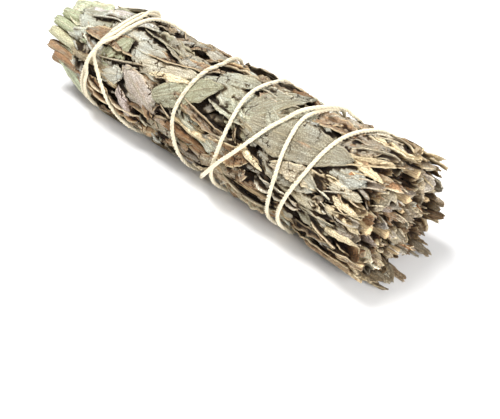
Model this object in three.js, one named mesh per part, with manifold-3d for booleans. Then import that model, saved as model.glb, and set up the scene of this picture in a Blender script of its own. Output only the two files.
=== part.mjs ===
// A bunch of dried sage, tied for burning: thirteen leafy stems laid side by side, pressed into a
// thick roll and bound with one cotton string. It lies along X on its side, with its leafy tips
// towards -X and its cut stems towards +X. Millimetres, +Z up, the surface it lies on at z = 0.
import * as THREE from "three";
import { mergeVertices } from "three/addons/utils/BufferGeometryUtils.js";
import Module from "manifold-3d";

const wasm = await Module();
wasm.setup();
const { Manifold } = wasm;

// ---------------------------------------------------------------- sizes

const TIP_END = -59; // where the packed roll ends, at the leafy tips and at the cut stems
const BUTT_END = 59;
const TIP_RADIUS = 14.8; // radius of the roll at each end
const BUTT_RADIUS = 18.2;
const TIP_TAPER = 2.6; // how much the roll narrows in its last stretch, at the tips
const TAPER_LENGTH = 14;
const RIPPLE = 0.25; // by which the roll's radius swells and shrinks along it
const RIPPLE_RATE = 1 / 9; // radians per millimetre
const SAG = 0.6; // how much lower the roll's axis is than its radius, as its weight presses it down

const STRING_RADIUS = 0.6;
const STRING_GAP = 0.35; // from the leaves to the string that lies on them
const BED = 1.6; // from the surface up to the flat underside, so that the string fits below it
const DEEP = 8; // leaves deeper in the roll than this aren't pressed flat

const OUTER_BORDERS = [-4, 46, 88, 126, 160, 202, 246, 298]; // degrees, between the outer sprigs
const HEART_SPRIGS = 5;
const HEART_SHARE = 0.5; // of the roll's radius
const HEART_HOLLOW = 1.0;
const CORE_DEPTH = 2.8; // from the outermost leaves down to the packed leaves that they grow from
const TWIST = 0.0017; // radians per millimetre by which the sprigs wind round the roll
const WAVER_RATE = 1 / 14; // radians per millimetre of the waves in a sprig's borders
const WAVER_STEP = 1.7; // radians between the waves of one border and the next
const GAP = 0.5; // between one sprig's packed leaves and the next
const CLEAR = 0.3; // round a stem

const LEAF_THICKNESS = 0.7;
const ROOT_DEPTH = CORE_DEPTH + 0.9; // where the outer leaves' roots are, in the packed leaves
const LEAF_ROWS = 7; // leaves along each outer sprig

const ORIGIN_SHIFT = [0.5, 0.45, 0]; // puts the origin below the middle of the whole bunch

const DEGREE = Math.PI / 180;
const { clamp, lerp, smoothstep } = THREE.MathUtils;

// The same seed always gives the same draws, each between low and high.
function draws(seed) {
  const modulus = 2147483647;
  const multiplier = 48271;
  let state = ((seed + 1) * multiplier * 97) % modulus;
  return (low, high) => {
    state = (state * multiplier) % modulus;
    return low + ((high - low) * state) / modulus;
  };
}

// ---------------------------------------------------------------- the string's route

// The route as [angle it has wound in degrees, x]. From the knot the string winds twice round the
// tip end, spirals to the butt end, turns there, and crosses back over itself to the knot.
const KNOT_ANGLE = 285;
const WINDING = 2880;
const ROUTE = [
  [KNOT_ANGLE, -45.0], [338, -43.4], [367, -42.6], [392, -43.6], [416, -45.2], [439, -46.8],
  [462, -48.3], [520, -49.6], [590, -50.4], [650, -47.8], [698, -42.0], [727, -41.2],
  [752, -42.2], [772, -43.6], [785, -42.2], [798, -39.3], [815, -36.2], [852, -30.5],
  [1071, -5.6], [1095, -6.6],
  [1131, -7.6], [1150, -7.8], [1175, -6.4], [1220, -3.9], [1419, 11.6], [1455, 11.2],
  [1491, 12.4], [1520, 11.6], [1553, 8.6], [1580, 8.4], [1768, 31.6], [1808, 30.4], [1840, 32.2],
  [1867, 33.4], [1888, 32.8], [1930, 30.8], [2110, 46.8], [2175, 43.9], [2212, 41.9],
  [2240, 38.6], [2270, 35.2], [2300, 34.0], [2470, 35.2], [2505, 32.0], [2540, 26.4],
  [2578, 20.0], [2620, 9.4], [2652, 1.4], [2840, -36.6], [2893, -39.6], [2917, -41.2],
  [2940, -43.6], [2960, -45.2], [2982, -46.6], [3040, -46.9], [3100, -46.2],
  [KNOT_ANGLE + WINDING, -45.2],
];
const ROUTE_STEP = 5; // degrees between the route's samples
const CROSSING = 1.28; // between a turn's middle and that of the turn it crosses over
const HUMP = 25; // degrees over which the string rises to a crossing

// x at a wound angle, on a smooth curve through the route.
function routeX(angle) {
  const i = clamp(ROUTE.findIndex(([a]) => a >= angle) - 1, 0, ROUTE.length - 2);
  const slope = (k) => {
    const [before, next] = [ROUTE[Math.max(k - 1, 0)], ROUTE[Math.min(k + 1, ROUTE.length - 1)]];
    return (next[1] - before[1]) / (next[0] - before[0]);
  };
  const [[a0, x0], [a1, x1]] = [ROUTE[i], ROUTE[i + 1]];
  const span = a1 - a0;
  const t = (angle - a0) / span;
  const bend = slope(i) * (1 - t) - slope(i + 1) * t;
  return x0 * (1 + 2 * t) * (1 - t) ** 2 + x1 * t * t * (3 - 2 * t) + span * t * (1 - t) * bend;
}

// How far apart two samples of the route are on the roll's surface, sideways and round.
function apart(a, b) {
  const turn = ((((a.angle - b.angle) % 360) + 540) % 360) - 180;
  return Math.hypot(a.x - b.x, turn * DEGREE * rollRadius(a.x));
}

// The route's samples, each lifted clear of the earlier turns that it crosses.
function routeSamples() {
  const samples = [];
  for (let angle = KNOT_ANGLE; angle <= KNOT_ANGLE + WINDING; angle += ROUTE_STEP) {
    samples.push({ angle, x: routeX(angle), lift: 0 });
  }
  const reach = Math.ceil(HUMP / ROUTE_STEP);
  const margin = 0.5;
  for (const [i, sample] of samples.entries()) {
    const under = samples
      .slice(0, i)
      .filter((b) => sample.angle - b.angle > 180 && apart(sample, b) < CROSSING + margin);
    const needed = under.length ? CROSSING + Math.max(...under.map((b) => b.lift)) : 0;
    for (let k = Math.max(0, i - reach); k <= Math.min(samples.length - 1, i + reach); k++) {
      const hump = 1 - smoothstep(Math.abs(k - i) / reach, 0.3, 1);
      samples[k].lift = Math.max(samples[k].lift, needed * hump);
    }
  }
  return samples;
}

// ---------------------------------------------------------------- the roll's outer surface

function rollRadius(x) {
  const along = (x - TIP_END) / (BUTT_END - TIP_END);
  const taper = 1 - smoothstep(x, TIP_END - 2, TIP_END + TAPER_LENGTH);
  return lerp(TIP_RADIUS, BUTT_RADIUS, along) + RIPPLE * Math.sin(RIPPLE_RATE * x) - TIP_TAPER * taper;
}

function axisHeight(x) {
  const along = (x - TIP_END) / (BUTT_END - TIP_END);
  return lerp(TIP_RADIUS, BUTT_RADIUS, along) - SAG;
}

// A point at `height` above the roll's outer surface. The angle runs round the roll from its top,
// over the side that faces -Y. Underneath, the outer layers of leaves are pressed flat.
function skinPoint(x, angle, height) {
  const radius = rollRadius(x) + height;
  const round = axisHeight(x) + radius * Math.cos(angle);
  const flattened = (SAG + BED) * clamp(1 + height / DEEP, 0, 1);
  const flat = axisHeight(x) - radius + flattened;
  return new THREE.Vector3(x, -radius * Math.sin(angle), Math.max(round, flat));
}

// ---------------------------------------------------------------- solids and meshes

function solidOf(geometry) {
  geometry.deleteAttribute("normal");
  geometry.deleteAttribute("uv");
  const merged = mergeVertices(geometry, 1e-4);
  return new Manifold(
    new wasm.Mesh({
      numProp: 3,
      vertProperties: new Float32Array(merged.attributes.position.array),
      triVerts: new Uint32Array(merged.index.array),
    }),
  );
}

function geometryOf(solid) {
  const mesh = solid.getMesh();
  const geometry = new THREE.BufferGeometry();
  geometry.setAttribute("position", new THREE.BufferAttribute(mesh.vertProperties, 3));
  geometry.setIndex(new THREE.BufferAttribute(mesh.triVerts, 1));
  geometry.computeVertexNormals();
  return geometry;
}

function join(solids) {
  return solids.reduce((whole, solid) => whole.add(solid));
}

// Cutting can leave a crumb beside the main piece: only the main piece is kept.
function mainPiece(solid) {
  return solid.decompose().reduce((most, piece) => (piece.volume() > most.volume() ? piece : most));
}

// A closed solid through rings of points, one ring a station. The first half of a ring runs over
// the solid's upper face and the second half back under it, so both faces split alike.
function loft(rings) {
  const sides = rings[0].length;
  const index = [];
  for (let i = 0; i + 1 < rings.length; i++) {
    for (let j = 0; j < sides; j++) {
      const [a, b] = [i * sides + j, i * sides + ((j + 1) % sides)];
      if (j < sides / 2) index.push(a, b, b + sides, a, b + sides, a + sides);
      else index.push(a, b, a + sides, b, b + sides, a + sides);
    }
  }
  const last = (rings.length - 1) * sides;
  for (let j = 0; j + 1 < sides / 2; j++) {
    const [a, b, c, d] = [j, j + 1, sides - 2 - j, sides - 1 - j];
    index.push(a, d, b, b, d, c);
    index.push(last + a, last + b, last + d, last + b, last + c, last + d);
  }
  const geometry = new THREE.BufferGeometry().setFromPoints(rings.flat());
  return solidOf(geometry.setIndex(index));
}

// The rings of a bar that runs through points, with a radius at each.
function barRings(points, radii, sides) {
  return points.map((point, i) => {
    const [before, next] = [points[Math.max(i - 1, 0)], points[Math.min(i + 1, points.length - 1)]];
    const ahead = next.clone().sub(before).normalize();
    const outward = new THREE.Vector3(0, point.y, point.z - axisHeight(point.x));
    const side = new THREE.Vector3().crossVectors(outward, ahead).normalize();
    const up = new THREE.Vector3().crossVectors(ahead, side);
    return Array.from({ length: sides }, (_, j) => {
      const turn = (2 * Math.PI * (j + 0.5)) / sides;
      return point
        .clone()
        .addScaledVector(side, radii[i] * Math.cos(turn))
        .addScaledVector(up, radii[i] * Math.sin(turn));
    });
  });
}

// ---------------------------------------------------------------- the packed leaves of a sprig

// Each sprig fills a sector of the roll. The borders between the sectors wind along X.
function border(ring, k, x) {
  const round = 360 * Math.floor(k / ring.count);
  const start = (ring.borders[k % ring.count] + round) * DEGREE;
  const phase = WAVER_RATE * x + WAVER_STEP * (k % ring.count);
  return start + TWIST * x + ring.waver * Math.sin(phase);
}

function middle(ring, k, x) {
  return (border(ring, k, x) + border(ring, k + 1, x)) / 2;
}

const OUTER = {
  count: OUTER_BORDERS.length,
  borders: OUTER_BORDERS,
  waver: 7 * DEGREE,
  top: () => -CORE_DEPTH,
  bottom: (x) => HEART_SHARE * rollRadius(x) + GAP - rollRadius(x),
};
const HEART = {
  count: HEART_SPRIGS,
  borders: Array.from({ length: HEART_SPRIGS }, (_, k) => (360 * k) / HEART_SPRIGS),
  waver: 8 * DEGREE,
  top: (x) => HEART_SHARE * rollRadius(x) - GAP / 2 - rollRadius(x),
  bottom: (x) => HEART_HOLLOW - rollRadius(x),
};
const CORE_STATIONS = 10;
const CORE_ARC = 4; // points across a sector's upper face, and across its lower face

// The leaves pressed together in sector k, from one end to the other.
function packedLeaves(ring, k, ends) {
  const rings = [];
  for (let i = 0; i < CORE_STATIONS; i++) {
    const x = lerp(ends[0], ends[1], i / (CORE_STATIONS - 1));
    const face = (height) =>
      Array.from({ length: CORE_ARC }, (_, j) => {
        const margin = GAP / 2 / (rollRadius(x) + height);
        const [low, high] = [border(ring, k, x) + margin, border(ring, k + 1, x) - margin];
        return skinPoint(x, lerp(low, high, j / (CORE_ARC - 1)), height);
      });
    rings.push([...face(ring.top(x)), ...face(ring.bottom(x)).reverse()]);
  }
  return loft(rings);
}

// ---------------------------------------------------------------- leaves

// Half-width of a leaf at each station from its root to its tip, as a share of its greatest.
const OUTLINE = [0.55, 1.0, 0.88, 0.3];

// Bends a place on a leaf back from the borders of its own sprig's sector.
function keptInside(ring, k, x, angle) {
  const [low, high] = [border(ring, k, x), border(ring, k + 1, x)];
  const half = (high - low) / 2 - GAP / 2 / (rollRadius(x) * HEART_SHARE);
  const aside = (angle - (low + high) / 2) / half;
  return (low + high) / 2 + (half * aside) / (1 + Math.abs(aside) ** 4) ** 0.25;
}

// A dried leaf laid on the roll, as part of sprig k. Its root is sunk in the packed leaves, its tip
// lies outermost, and its edges are waved and broken.
function leafSolid(ring, k, leaf) {
  const draw = draws(leaf.seed);
  const around = rollRadius(leaf.x) + leaf.top;
  const rings = OUTLINE.map((share, i) => {
    const t = i / (OUTLINE.length - 1);
    const along = (t - 0.5) * leaf.length;
    const points = [-1, 0, 1].map((side) => {
      const half = (leaf.width / 2) * share * draw(0.85, 1.1);
      const across = side * half + leaf.bend * (t - 0.5) ** 2;
      const x = leaf.x + along * Math.cos(leaf.turn) - across * Math.sin(leaf.turn);
      const arc = along * Math.sin(leaf.turn) + across * Math.cos(leaf.turn);
      const wave = side ? draw(0, leaf.wave) : 0;
      const height = lerp(leaf.root, leaf.top, Math.min(1, 1.25 * t)) - leaf.arch * side * side - wave;
      return { x, angle: keptInside(ring, k, x, leaf.angle + arc / around), height };
    });
    const face = (depth) => points.map((p) => skinPoint(p.x, p.angle, p.height - depth));
    return [...face(0), ...face(leaf.thickness).reverse()];
  });
  return loft(rings);
}

const LEAF_SEED = 101;

// The broad leaves that lie outermost along the first sprig: [x, degrees round the roll, length,
// width, degrees from +X that the tip points].
const BROAD_LEAVES = [
  [-51, 12, 21, 13, 172], [-36, 18, 20, 12, 190], [-22, 28, 24, 10, 176], [-6, 27, 22, 13, 192],
  [9, 14, 22, 13, 184], [19, 34, 22, 11, 170], [36, 24, 32, 14, 186], [50, 14, 20, 12, 5],
];

function broadLeaves() {
  return BROAD_LEAVES.map(([x, angle, length, width, turn], i) => ({
    x,
    angle: angle * DEGREE,
    turn: turn * DEGREE,
    length,
    width,
    bend: 2,
    arch: 0.5,
    wave: 0.6,
    root: -ROOT_DEPTH,
    top: -0.1 * (i % 3),
    thickness: LEAF_THICKNESS,
    seed: LEAF_SEED * (i + 1),
  }));
}

// The leaves along the outside of sprig k, most of them with their tips towards the tip end.
function outerLeaves(k) {
  if (k === 0) return broadLeaves();
  const draw = draws(LEAF_SEED + k);
  return Array.from({ length: LEAF_ROWS }, (_, row) => {
    const x = lerp(TIP_END + 10, BUTT_END - 10, (row + draw(-0.25, 0.25)) / (LEAF_ROWS - 1));
    const room = border(OUTER, k + 1, x) - border(OUTER, k, x);
    return {
      x,
      angle: middle(OUTER, k, x) + draw(-0.28, 0.28) * room,
      turn: (draw(0, 1) < 0.3 ? 0 : Math.PI) + draw(-0.3, 0.3),
      length: draw(23, 31),
      width: draw(8, 11.5),
      bend: draw(-6, 6),
      arch: draw(0.2, 1.1),
      wave: 0.9,
      root: -ROOT_DEPTH,
      top: draw(-0.8, 0),
      thickness: LEAF_THICKNESS,
      seed: 1000 * (k + 1) + row,
    };
  });
}

// Leaves that stand out of one end of a sprig, in layers at shares of the roll's radius. `out` is
// +1 at the butt end.
function endLeaves(ring, k, out, shares) {
  const draw = draws(LEAF_SEED + 10 * k + ring.count + out);
  const end = out > 0 ? BUTT_END : TIP_END;
  return shares.map((share, layer) => {
    const length = draw(13, 17);
    const reach = out > 0 ? draw(0, 7) : draw(2, 8.5);
    const x = end + out * (reach - length / 2);
    const deep = (share - 1) * rollRadius(x);
    const room = (border(ring, k + 1, end) - border(ring, k, end)) * rollRadius(end) * share;
    return {
      x,
      angle: middle(ring, k, x) + draw(-0.12, 0.12),
      turn: (out > 0 ? 0 : Math.PI) + draw(-0.2, 0.2),
      length,
      width: room * draw(0.55, 0.8),
      bend: 0,
      arch: draw(0, 0.5),
      wave: 0.5,
      root: deep - draw(0, 0.6),
      top: deep,
      thickness: LEAF_THICKNESS,
      seed: 5000 + 1000 * k + 100 * (out + 2) + 10 * ring.count + layer,
    };
  });
}

// The leaves that the bunch rests on, pressed together and flat: where along X they are.
const RESTS = [-36, 24, 48];
const PRESSED_OFF = 0.3; // what the surface presses off them
const UNDERNEATH = 4; // the sprig that is below

function restingLeaves(k) {
  if (k !== UNDERNEATH) return [];
  return RESTS.map((x) => ({
    x,
    angle: Math.PI,
    turn: Math.PI,
    length: 15,
    width: 11,
    bend: 0,
    arch: 0,
    wave: 0,
    root: BED + PRESSED_OFF,
    top: BED + PRESSED_OFF,
    thickness: BED + PRESSED_OFF + ROOT_DEPTH,
    seed: 90 + x,
  }));
}

// ---------------------------------------------------------------- stems

const STEM_SIDES = 4;
const STEM_STEPS = 5;

// A square stem along the roll, which thins towards the tip end; `grow` makes it larger all round.
function stemSolid(stem, grow) {
  const points = [];
  const radii = [];
  for (let i = 0; i <= STEM_STEPS; i++) {
    const x = lerp(stem.from - grow, stem.to + grow, i / STEM_STEPS);
    points.push(skinPoint(x, stem.angle(x), stem.height(x)));
    radii.push(lerp(stem.thin, stem.thick, i / STEM_STEPS) * Math.SQRT2 + grow);
  }
  return loft(barRings(points, radii, STEM_SIDES));
}

// The stem that a sprig's leaves grow from, at a share of the roll's radius.
function mainStem(ring, k, share) {
  const draw = draws(LEAF_SEED + 7 * k + ring.count);
  return {
    from: draw(-50, -40),
    to: BUTT_END + draw(-2, 7),
    angle: (x) => middle(ring, k, x),
    height: (x) => (share - 1) * rollRadius(x),
    thin: 0.7,
    thick: draw(0.85, 1.35),
  };
}

// Bare stalks tucked in just under the outermost leaves, each from one place to another:
// [x, degrees round the roll].
const STALKS = [
  [[20, 17], [63, 30]],
  [[-34, 90], [30, 104]],
  [[8, 128], [65, 112]],
  [[-12, 60], [61, 73]],
  [[-20, 318], [62, 331]],
  [[-28, 246], [60, 256]],
];
const STALK_DEPTH = 1.6;
const STALK_THIN = 0.5; // half its width at the tip end, and at the butt end
const STALK_THICK = 0.85;

function stalk([[from, first], [to, last]]) {
  return {
    from,
    to,
    angle: (x) => lerp(first, last, (x - from) / (to - from)) * DEGREE,
    height: () => -STALK_DEPTH,
    thin: STALK_THIN,
    thick: STALK_THICK,
  };
}

// ---------------------------------------------------------------- the string

const STRING_SIDES = 6;
const STRING_STRIDE = 4; // route samples between the string's rings, where it isn't lifted
const TURN_RINGS = 24; // rings in one length of the string, before the lengths are joined

function stringPoint(sample) {
  const height = STRING_GAP + STRING_RADIUS + sample.lift;
  const point = skinPoint(sample.x, sample.angle * DEGREE, height);
  point.z = Math.max(point.z, STRING_RADIUS + 0.03);
  return point;
}

function cordSolid(points, radii) {
  const rings = barRings(points, radii, STRING_SIDES);
  const lengths = [];
  for (let i = 0; i + 1 < rings.length; i += TURN_RINGS) {
    lengths.push(loft(rings.slice(i, i + TURN_RINGS + 1)));
  }
  return join(lengths);
}

// The knot on the far side, with the string's two ends: [x, degrees round the roll, height].
const KNOT = [[-45.1, 277, 0.9], [-45.1, 281, 1.5], [-45.1, 289, 1.5], [-45.1, 293, 0.9]];
const KNOT_RADII = [0.5, 1.25, 1.25, 0.5];
const TAILS = [
  [[-45.1, 285, 1.5], [-42.5, 286, 1.4], [-39.5, 289, 1.0], [-36.2, 288, 1.0], [-34.0, 284, 1.2]],
  [[-45.1, 285, 1.5], [-43.2, 279, 1.3], [-42.2, 270, 1.0], [-41.6, 260, 1.0], [-42.4, 252, 1.1]],
];

function stringSolid() {
  const route = routeSamples();
  const kept = route.filter((sample, i) => {
    return i % STRING_STRIDE === 0 || i === route.length - 1 || (sample.lift > 0 && i % 2 === 0);
  });
  const winding = cordSolid(kept.map(stringPoint), kept.map(() => STRING_RADIUS));
  const along = (list) => list.map(([x, angle, height]) => skinPoint(x, angle * DEGREE, height));
  const knot = cordSolid(along(KNOT), KNOT_RADII);
  const tails = TAILS.map((tail) => cordSolid(along(tail), tail.map(() => STRING_RADIUS)));
  return join([winding, knot, ...tails]);
}

// ---------------------------------------------------------------- the bunch

const LEAF_COLOURS = [0x9fa088, 0xa8a894, 0x96987a, 0xa9a18e, 0x8f9474, 0xaaa79b, 0x9c9c80, 0xa39b86];
const STEM_COLOURS = [0x94724c, 0xa5855c, 0x86633f];
const STRING_COLOUR = 0xe8dfc8;

function mesh(name, solid, color, roughness) {
  const material = new THREE.MeshStandardMaterial({ color, roughness, metalness: 0 });
  const piece = new THREE.Mesh(geometryOf(solid), material);
  piece.name = name;
  return piece;
}

// Everything above the surface that the bunch lies on.
function aboveSurface(solid) {
  const size = 300;
  const box = new THREE.BoxGeometry(size, size, size).translate(0, 0, size / 2);
  return solid.intersect(solidOf(box));
}

// Each sprig is its packed leaves, its loose leaves and its stem.
function outerSprig(k) {
  const draw = draws(LEAF_SEED + 3 * k);
  return {
    ring: OUTER,
    k,
    ends: [TIP_END + draw(0, 3), BUTT_END - draw(0, 3)],
    leaves: [
      ...outerLeaves(k),
      ...endLeaves(OUTER, k, -1, [0.95, 0.72]),
      ...endLeaves(OUTER, k, 1, [0.95, 0.7]),
      ...restingLeaves(k),
    ],
    stem: mainStem(OUTER, k, 0.69),
  };
}

function heartSprig(k) {
  const draw = draws(LEAF_SEED + 5 * k + 50);
  return {
    ring: HEART,
    k,
    ends: [TIP_END + draw(1, 4), BUTT_END - draw(2, 5)],
    leaves: [...endLeaves(HEART, k, -1, [0.43, 0.3]), ...endLeaves(HEART, k, 1, [0.43, 0.3])],
    stem: mainStem(HEART, k, 0.3),
  };
}

function leafyMass({ ring, k, ends, leaves }) {
  return join([packedLeaves(ring, k, ends), ...leaves.map((leaf) => leafSolid(ring, k, leaf))]);
}

function buildBunch() {
  const bunch = new THREE.Group();
  const outer = OUTER_BORDERS.map((_, k) => outerSprig(k));
  const heart = Array.from({ length: HEART_SPRIGS }, (_, k) => heartSprig(k));
  const stalks = STALKS.map(stalk);
  const sprigs = [...outer, ...heart];

  const holes = join([...sprigs.map((sprig) => sprig.stem), ...stalks].map((s) => stemSolid(s, CLEAR)));

  sprigs.forEach((sprig, i) => {
    const leaves = mainPiece(aboveSurface(leafyMass(sprig).subtract(holes)));
    const name = `sprig_${String(i + 1).padStart(2, "0")}`;
    bunch.add(mesh(`${name}_leaves`, leaves, LEAF_COLOURS[i % LEAF_COLOURS.length], 0.95));
    bunch.add(mesh(`${name}_stem`, stemSolid(sprig.stem, 0), STEM_COLOURS[i % STEM_COLOURS.length], 0.8));
  });
  stalks.forEach((one, i) => {
    bunch.add(mesh(`stalk_${i + 1}`, stemSolid(one, 0), STEM_COLOURS[i % STEM_COLOURS.length], 0.8));
  });
  bunch.add(mesh("string", stringSolid(), STRING_COLOUR, 0.9));
  bunch.position.set(...ORIGIN_SHIFT);
  return bunch;
}

export default buildBunch();
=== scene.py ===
# %% [markdown]
# # A tied bunch of dried sage
# A smudge bunch is a handful of leafy sage stems, dried and bound with cotton string into a roll.
# This lesson builds one from the inside out: the roll's surface, the pressed leaves, the ragged ends,
# the cut stems, and last the twisted string. All helper sizes are in millimetres, +Z up, with the roll
# along X, and become metres only when a mesh is stored.

# %% Load the fixed frame
import math

import bmesh
import bpy
import numpy as np
from mathutils import Matrix, Vector


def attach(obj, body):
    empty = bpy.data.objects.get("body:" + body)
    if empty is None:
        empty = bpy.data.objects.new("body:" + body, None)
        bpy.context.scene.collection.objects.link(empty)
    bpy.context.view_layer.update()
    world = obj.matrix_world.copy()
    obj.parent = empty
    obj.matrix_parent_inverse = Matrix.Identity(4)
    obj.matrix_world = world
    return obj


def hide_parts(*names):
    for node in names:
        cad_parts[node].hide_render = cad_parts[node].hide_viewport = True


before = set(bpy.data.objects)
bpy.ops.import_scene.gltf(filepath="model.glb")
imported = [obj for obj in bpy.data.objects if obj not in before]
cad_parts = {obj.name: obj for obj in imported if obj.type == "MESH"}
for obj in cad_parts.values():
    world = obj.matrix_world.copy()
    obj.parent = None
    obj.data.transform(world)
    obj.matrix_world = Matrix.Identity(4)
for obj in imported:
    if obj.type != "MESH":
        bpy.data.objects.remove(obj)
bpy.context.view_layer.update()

MM = 0.001
DEGREE = math.pi / 180

# %% [markdown]
# ## Seeded chance
# No two leaves are alike, but the bunch must come out the same each time. Each leaf draws its numbers
# from a small generator that starts from the leaf's own seed.

# %% Seeded draws
MODULUS, MULTIPLIER, STIR = 2147483647, 48271, 97


def draws(seed):
    """A function that gives a new number between two ends each time it is called."""
    state = ((seed + 1) * MULTIPLIER * STIR) % MODULUS

    def draw(low, high):
        nonlocal state
        state = (state * MULTIPLIER) % MODULUS
        return low + (high - low) * state / MODULUS

    return draw


def lerp(a, b, t):
    return a + (b - a) * t


def smoothstep(x, low, high):
    t = np.clip((x - low) / (high - low), 0, 1)
    return t * t * (3 - 2 * t)


print("draws:", [round(draws(5)(0, 1), 3), round(draws(6)(0, 1), 3)])

# %% [markdown]
# ## The roll
# Pressed leaves follow the surface of the whole roll, so every leaf is described by a place on it: x
# along the roll, an angle round it from the top, over the side that faces the camera, and a height
# above or below its outermost leaves. One function turns such a place into a point. Underneath, the
# leaves are pressed flat, and their layers stay apart.

# %% The roll's surface
TIP_END, BUTT_END = -59, 59
TIP_RADIUS, BUTT_RADIUS = 14.8, 18.2
TIP_TAPER, TAPER_LENGTH = 2.6, 14
SWELL, SWELL_LENGTH = 0.25, 9
SAG, BED, DEEP = 0.6, 1.6, 8  # how far it sank, how thick its flat bed is, and how deep that reaches
BED_EDGE, FLOOR_GAP = 0.25, 0.03
ORIGIN_SHIFT = Vector((0.5, 0.45, 0))


def roll_radius(x):
    along = (x - TIP_END) / (BUTT_END - TIP_END)
    taper = 1 - smoothstep(x, TIP_END - 2, TIP_END + TAPER_LENGTH)
    return lerp(TIP_RADIUS, BUTT_RADIUS, along) + SWELL * np.sin(x / SWELL_LENGTH) - TIP_TAPER * taper


def axis_height(x):
    return lerp(TIP_RADIUS, BUTT_RADIUS, (x - TIP_END) / (BUTT_END - TIP_END)) - SAG


def skin_points(x, angle, height):
    """Points in millimetres, one row each, from arrays of places on the roll."""
    radius = roll_radius(x) + height
    round_z = axis_height(x) + radius * np.cos(angle)
    flattened = (SAG + BED) * np.clip(1 + height / DEEP, 0, 1)
    flat_z = axis_height(x) - radius + flattened
    z = (round_z + flat_z + np.sqrt((round_z - flat_z) ** 2 + BED_EDGE**2)) / 2
    points = np.stack([x + 0 * z, -radius * np.sin(angle), z], -1)
    return points + np.array(ORIGIN_SHIFT)


print("roll radius at the ends:", roll_radius(TIP_END), roll_radius(BUTT_END))

# %% [markdown]
# ## The string's route
# The string decides where the leaves are squeezed, so its route comes before them. It is a list of
# places, [degrees wound, x], from the knot twice round the tip end, on to the butt end,
# and back over itself. Where a later turn meets an earlier one, it rises over it in a low hump.

# %% The path it takes
KNOT_ANGLE, WINDING = 285, 2880
ROUTE = [
    # degrees wound, x
    [KNOT_ANGLE, -45.0], [338, -43.4], [367, -42.6], [392, -43.6], [416, -45.2], [439, -46.8],
    [462, -48.3], [520, -49.6], [590, -50.4], [650, -47.8], [698, -42.0], [727, -41.2],
    [752, -42.2], [772, -43.6], [785, -42.2], [798, -39.3], [815, -36.2], [852, -30.5],
    [1071, -5.6], [1095, -6.6],
    [1131, -7.6], [1150, -7.8], [1175, -6.4], [1220, -3.9], [1419, 11.6], [1455, 11.2],
    [1491, 12.4], [1520, 11.6], [1553, 8.6], [1580, 8.4], [1768, 31.6], [1808, 30.4], [1840, 32.2],
    [1867, 33.4], [1888, 32.8], [1930, 30.8], [2110, 46.8], [2175, 43.9], [2212, 41.9],
    [2240, 38.6], [2270, 35.2], [2300, 34.0], [2470, 35.2], [2505, 32.0], [2540, 26.4],
    [2578, 20.0], [2620, 9.4], [2652, 1.4], [2840, -36.6], [2893, -39.6], [2917, -41.2],
    [2940, -43.6], [2960, -45.2], [2982, -46.6], [3040, -46.9], [3100, -46.2],
    [KNOT_ANGLE + WINDING, -45.2],
]
STRING_RADIUS = 0.6
ROUTE_STEP, CROSSING, HUMP = 1.5, 1.2, 20


def route_x(angle):
    """x at a wound angle, on a smooth curve through the route."""
    i = next(k for k in range(1, len(ROUTE)) if ROUTE[k][0] >= angle) - 1

    def slope(k):
        before, after = ROUTE[max(k - 1, 0)], ROUTE[min(k + 1, len(ROUTE) - 1)]
        return (after[1] - before[1]) / (after[0] - before[0])

    (a0, x0), (a1, x1) = ROUTE[i], ROUTE[i + 1]
    reach = a1 - a0
    t = (angle - a0) / reach
    bend = slope(i) * (1 - t) - slope(i + 1) * t
    return x0 * (1 + 2 * t) * (1 - t) ** 2 + x1 * t * t * (3 - 2 * t) + reach * t * (1 - t) * bend


def turns_apart(a, b):
    """How far round the roll two angles in degrees are, between -180 and 180."""
    return (a - b + 180) % 360 - 180


route_angle = np.arange(KNOT_ANGLE, KNOT_ANGLE + WINDING + 0.1, ROUTE_STEP)
route_along = np.array([route_x(a) for a in route_angle])


def route_lifts():
    """How far each point of the string is lifted, where it crosses the turns before it."""
    lifts = np.zeros(len(route_angle))
    reach = int(HUMP / ROUTE_STEP)
    hump = 1 - smoothstep(np.abs(np.arange(-reach, reach + 1)) / reach, 0.15, 1)
    for i, (angle, x) in enumerate(zip(route_angle, route_along)):
        earlier = route_angle < angle - 180
        around = turns_apart(route_angle, angle) * DEGREE * roll_radius(x)
        under = earlier & (np.hypot(route_along - x, around) < CROSSING)
        if under.any():
            needed = CROSSING + lifts[under].max()
            low, high = max(0, i - reach), min(len(lifts), i + reach + 1)
            part = hump[low - i + reach : high - i + reach]
            lifts[low:high] = np.maximum(lifts[low:high], needed * part)
    return lifts


route_lift = route_lifts()
print("string samples:", len(route_angle), "highest hump", round(float(route_lift.max()), 2), "mm")

# %% [markdown]
# The string was pulled tight, so the leaves under it are dented. The dent is worked out once on a grid
# over the roll, and each leaf reads it there.

# %% How the string dents the leaves
DENT, DENT_REACH = 0.5, 1.7
GRID_MM, GRID_DEGREES = 0.5, 2.0
DENT_X = np.arange(TIP_END - 12, BUTT_END + 14, GRID_MM)
DENT_ANGLE = np.arange(0, 360, GRID_DEGREES)


def dent_grid():
    grid = np.zeros((len(DENT_X), len(DENT_ANGLE)))
    for i, x in enumerate(DENT_X):
        around = turns_apart(DENT_ANGLE[:, None], route_angle[None, :]) * DEGREE * roll_radius(x)
        away = np.hypot(around, route_along[None, :] - x).min(1)
        grid[i] = np.exp(-((away / DENT_REACH) ** 2))
    return grid


DENTS = dent_grid()


def dent_at(x, angle):
    """How hard the string presses a place, between the four nearest places of the grid."""
    i = np.clip((x - DENT_X[0]) / GRID_MM, 0, len(DENT_X) - 1.001)
    j = (angle / DEGREE % 360) / GRID_DEGREES
    i0, j0 = i.astype(int), j.astype(int) % len(DENT_ANGLE)
    fi, fj = i - i0, j - j.astype(int)
    j1 = (j0 + 1) % len(DENT_ANGLE)
    near = DENTS[i0, j0] * (1 - fj) + DENTS[i0, j1] * fj
    far = DENTS[i0 + 1, j0] * (1 - fj) + DENTS[i0 + 1, j1] * fj
    return near * (1 - fi) + far * fi


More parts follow.
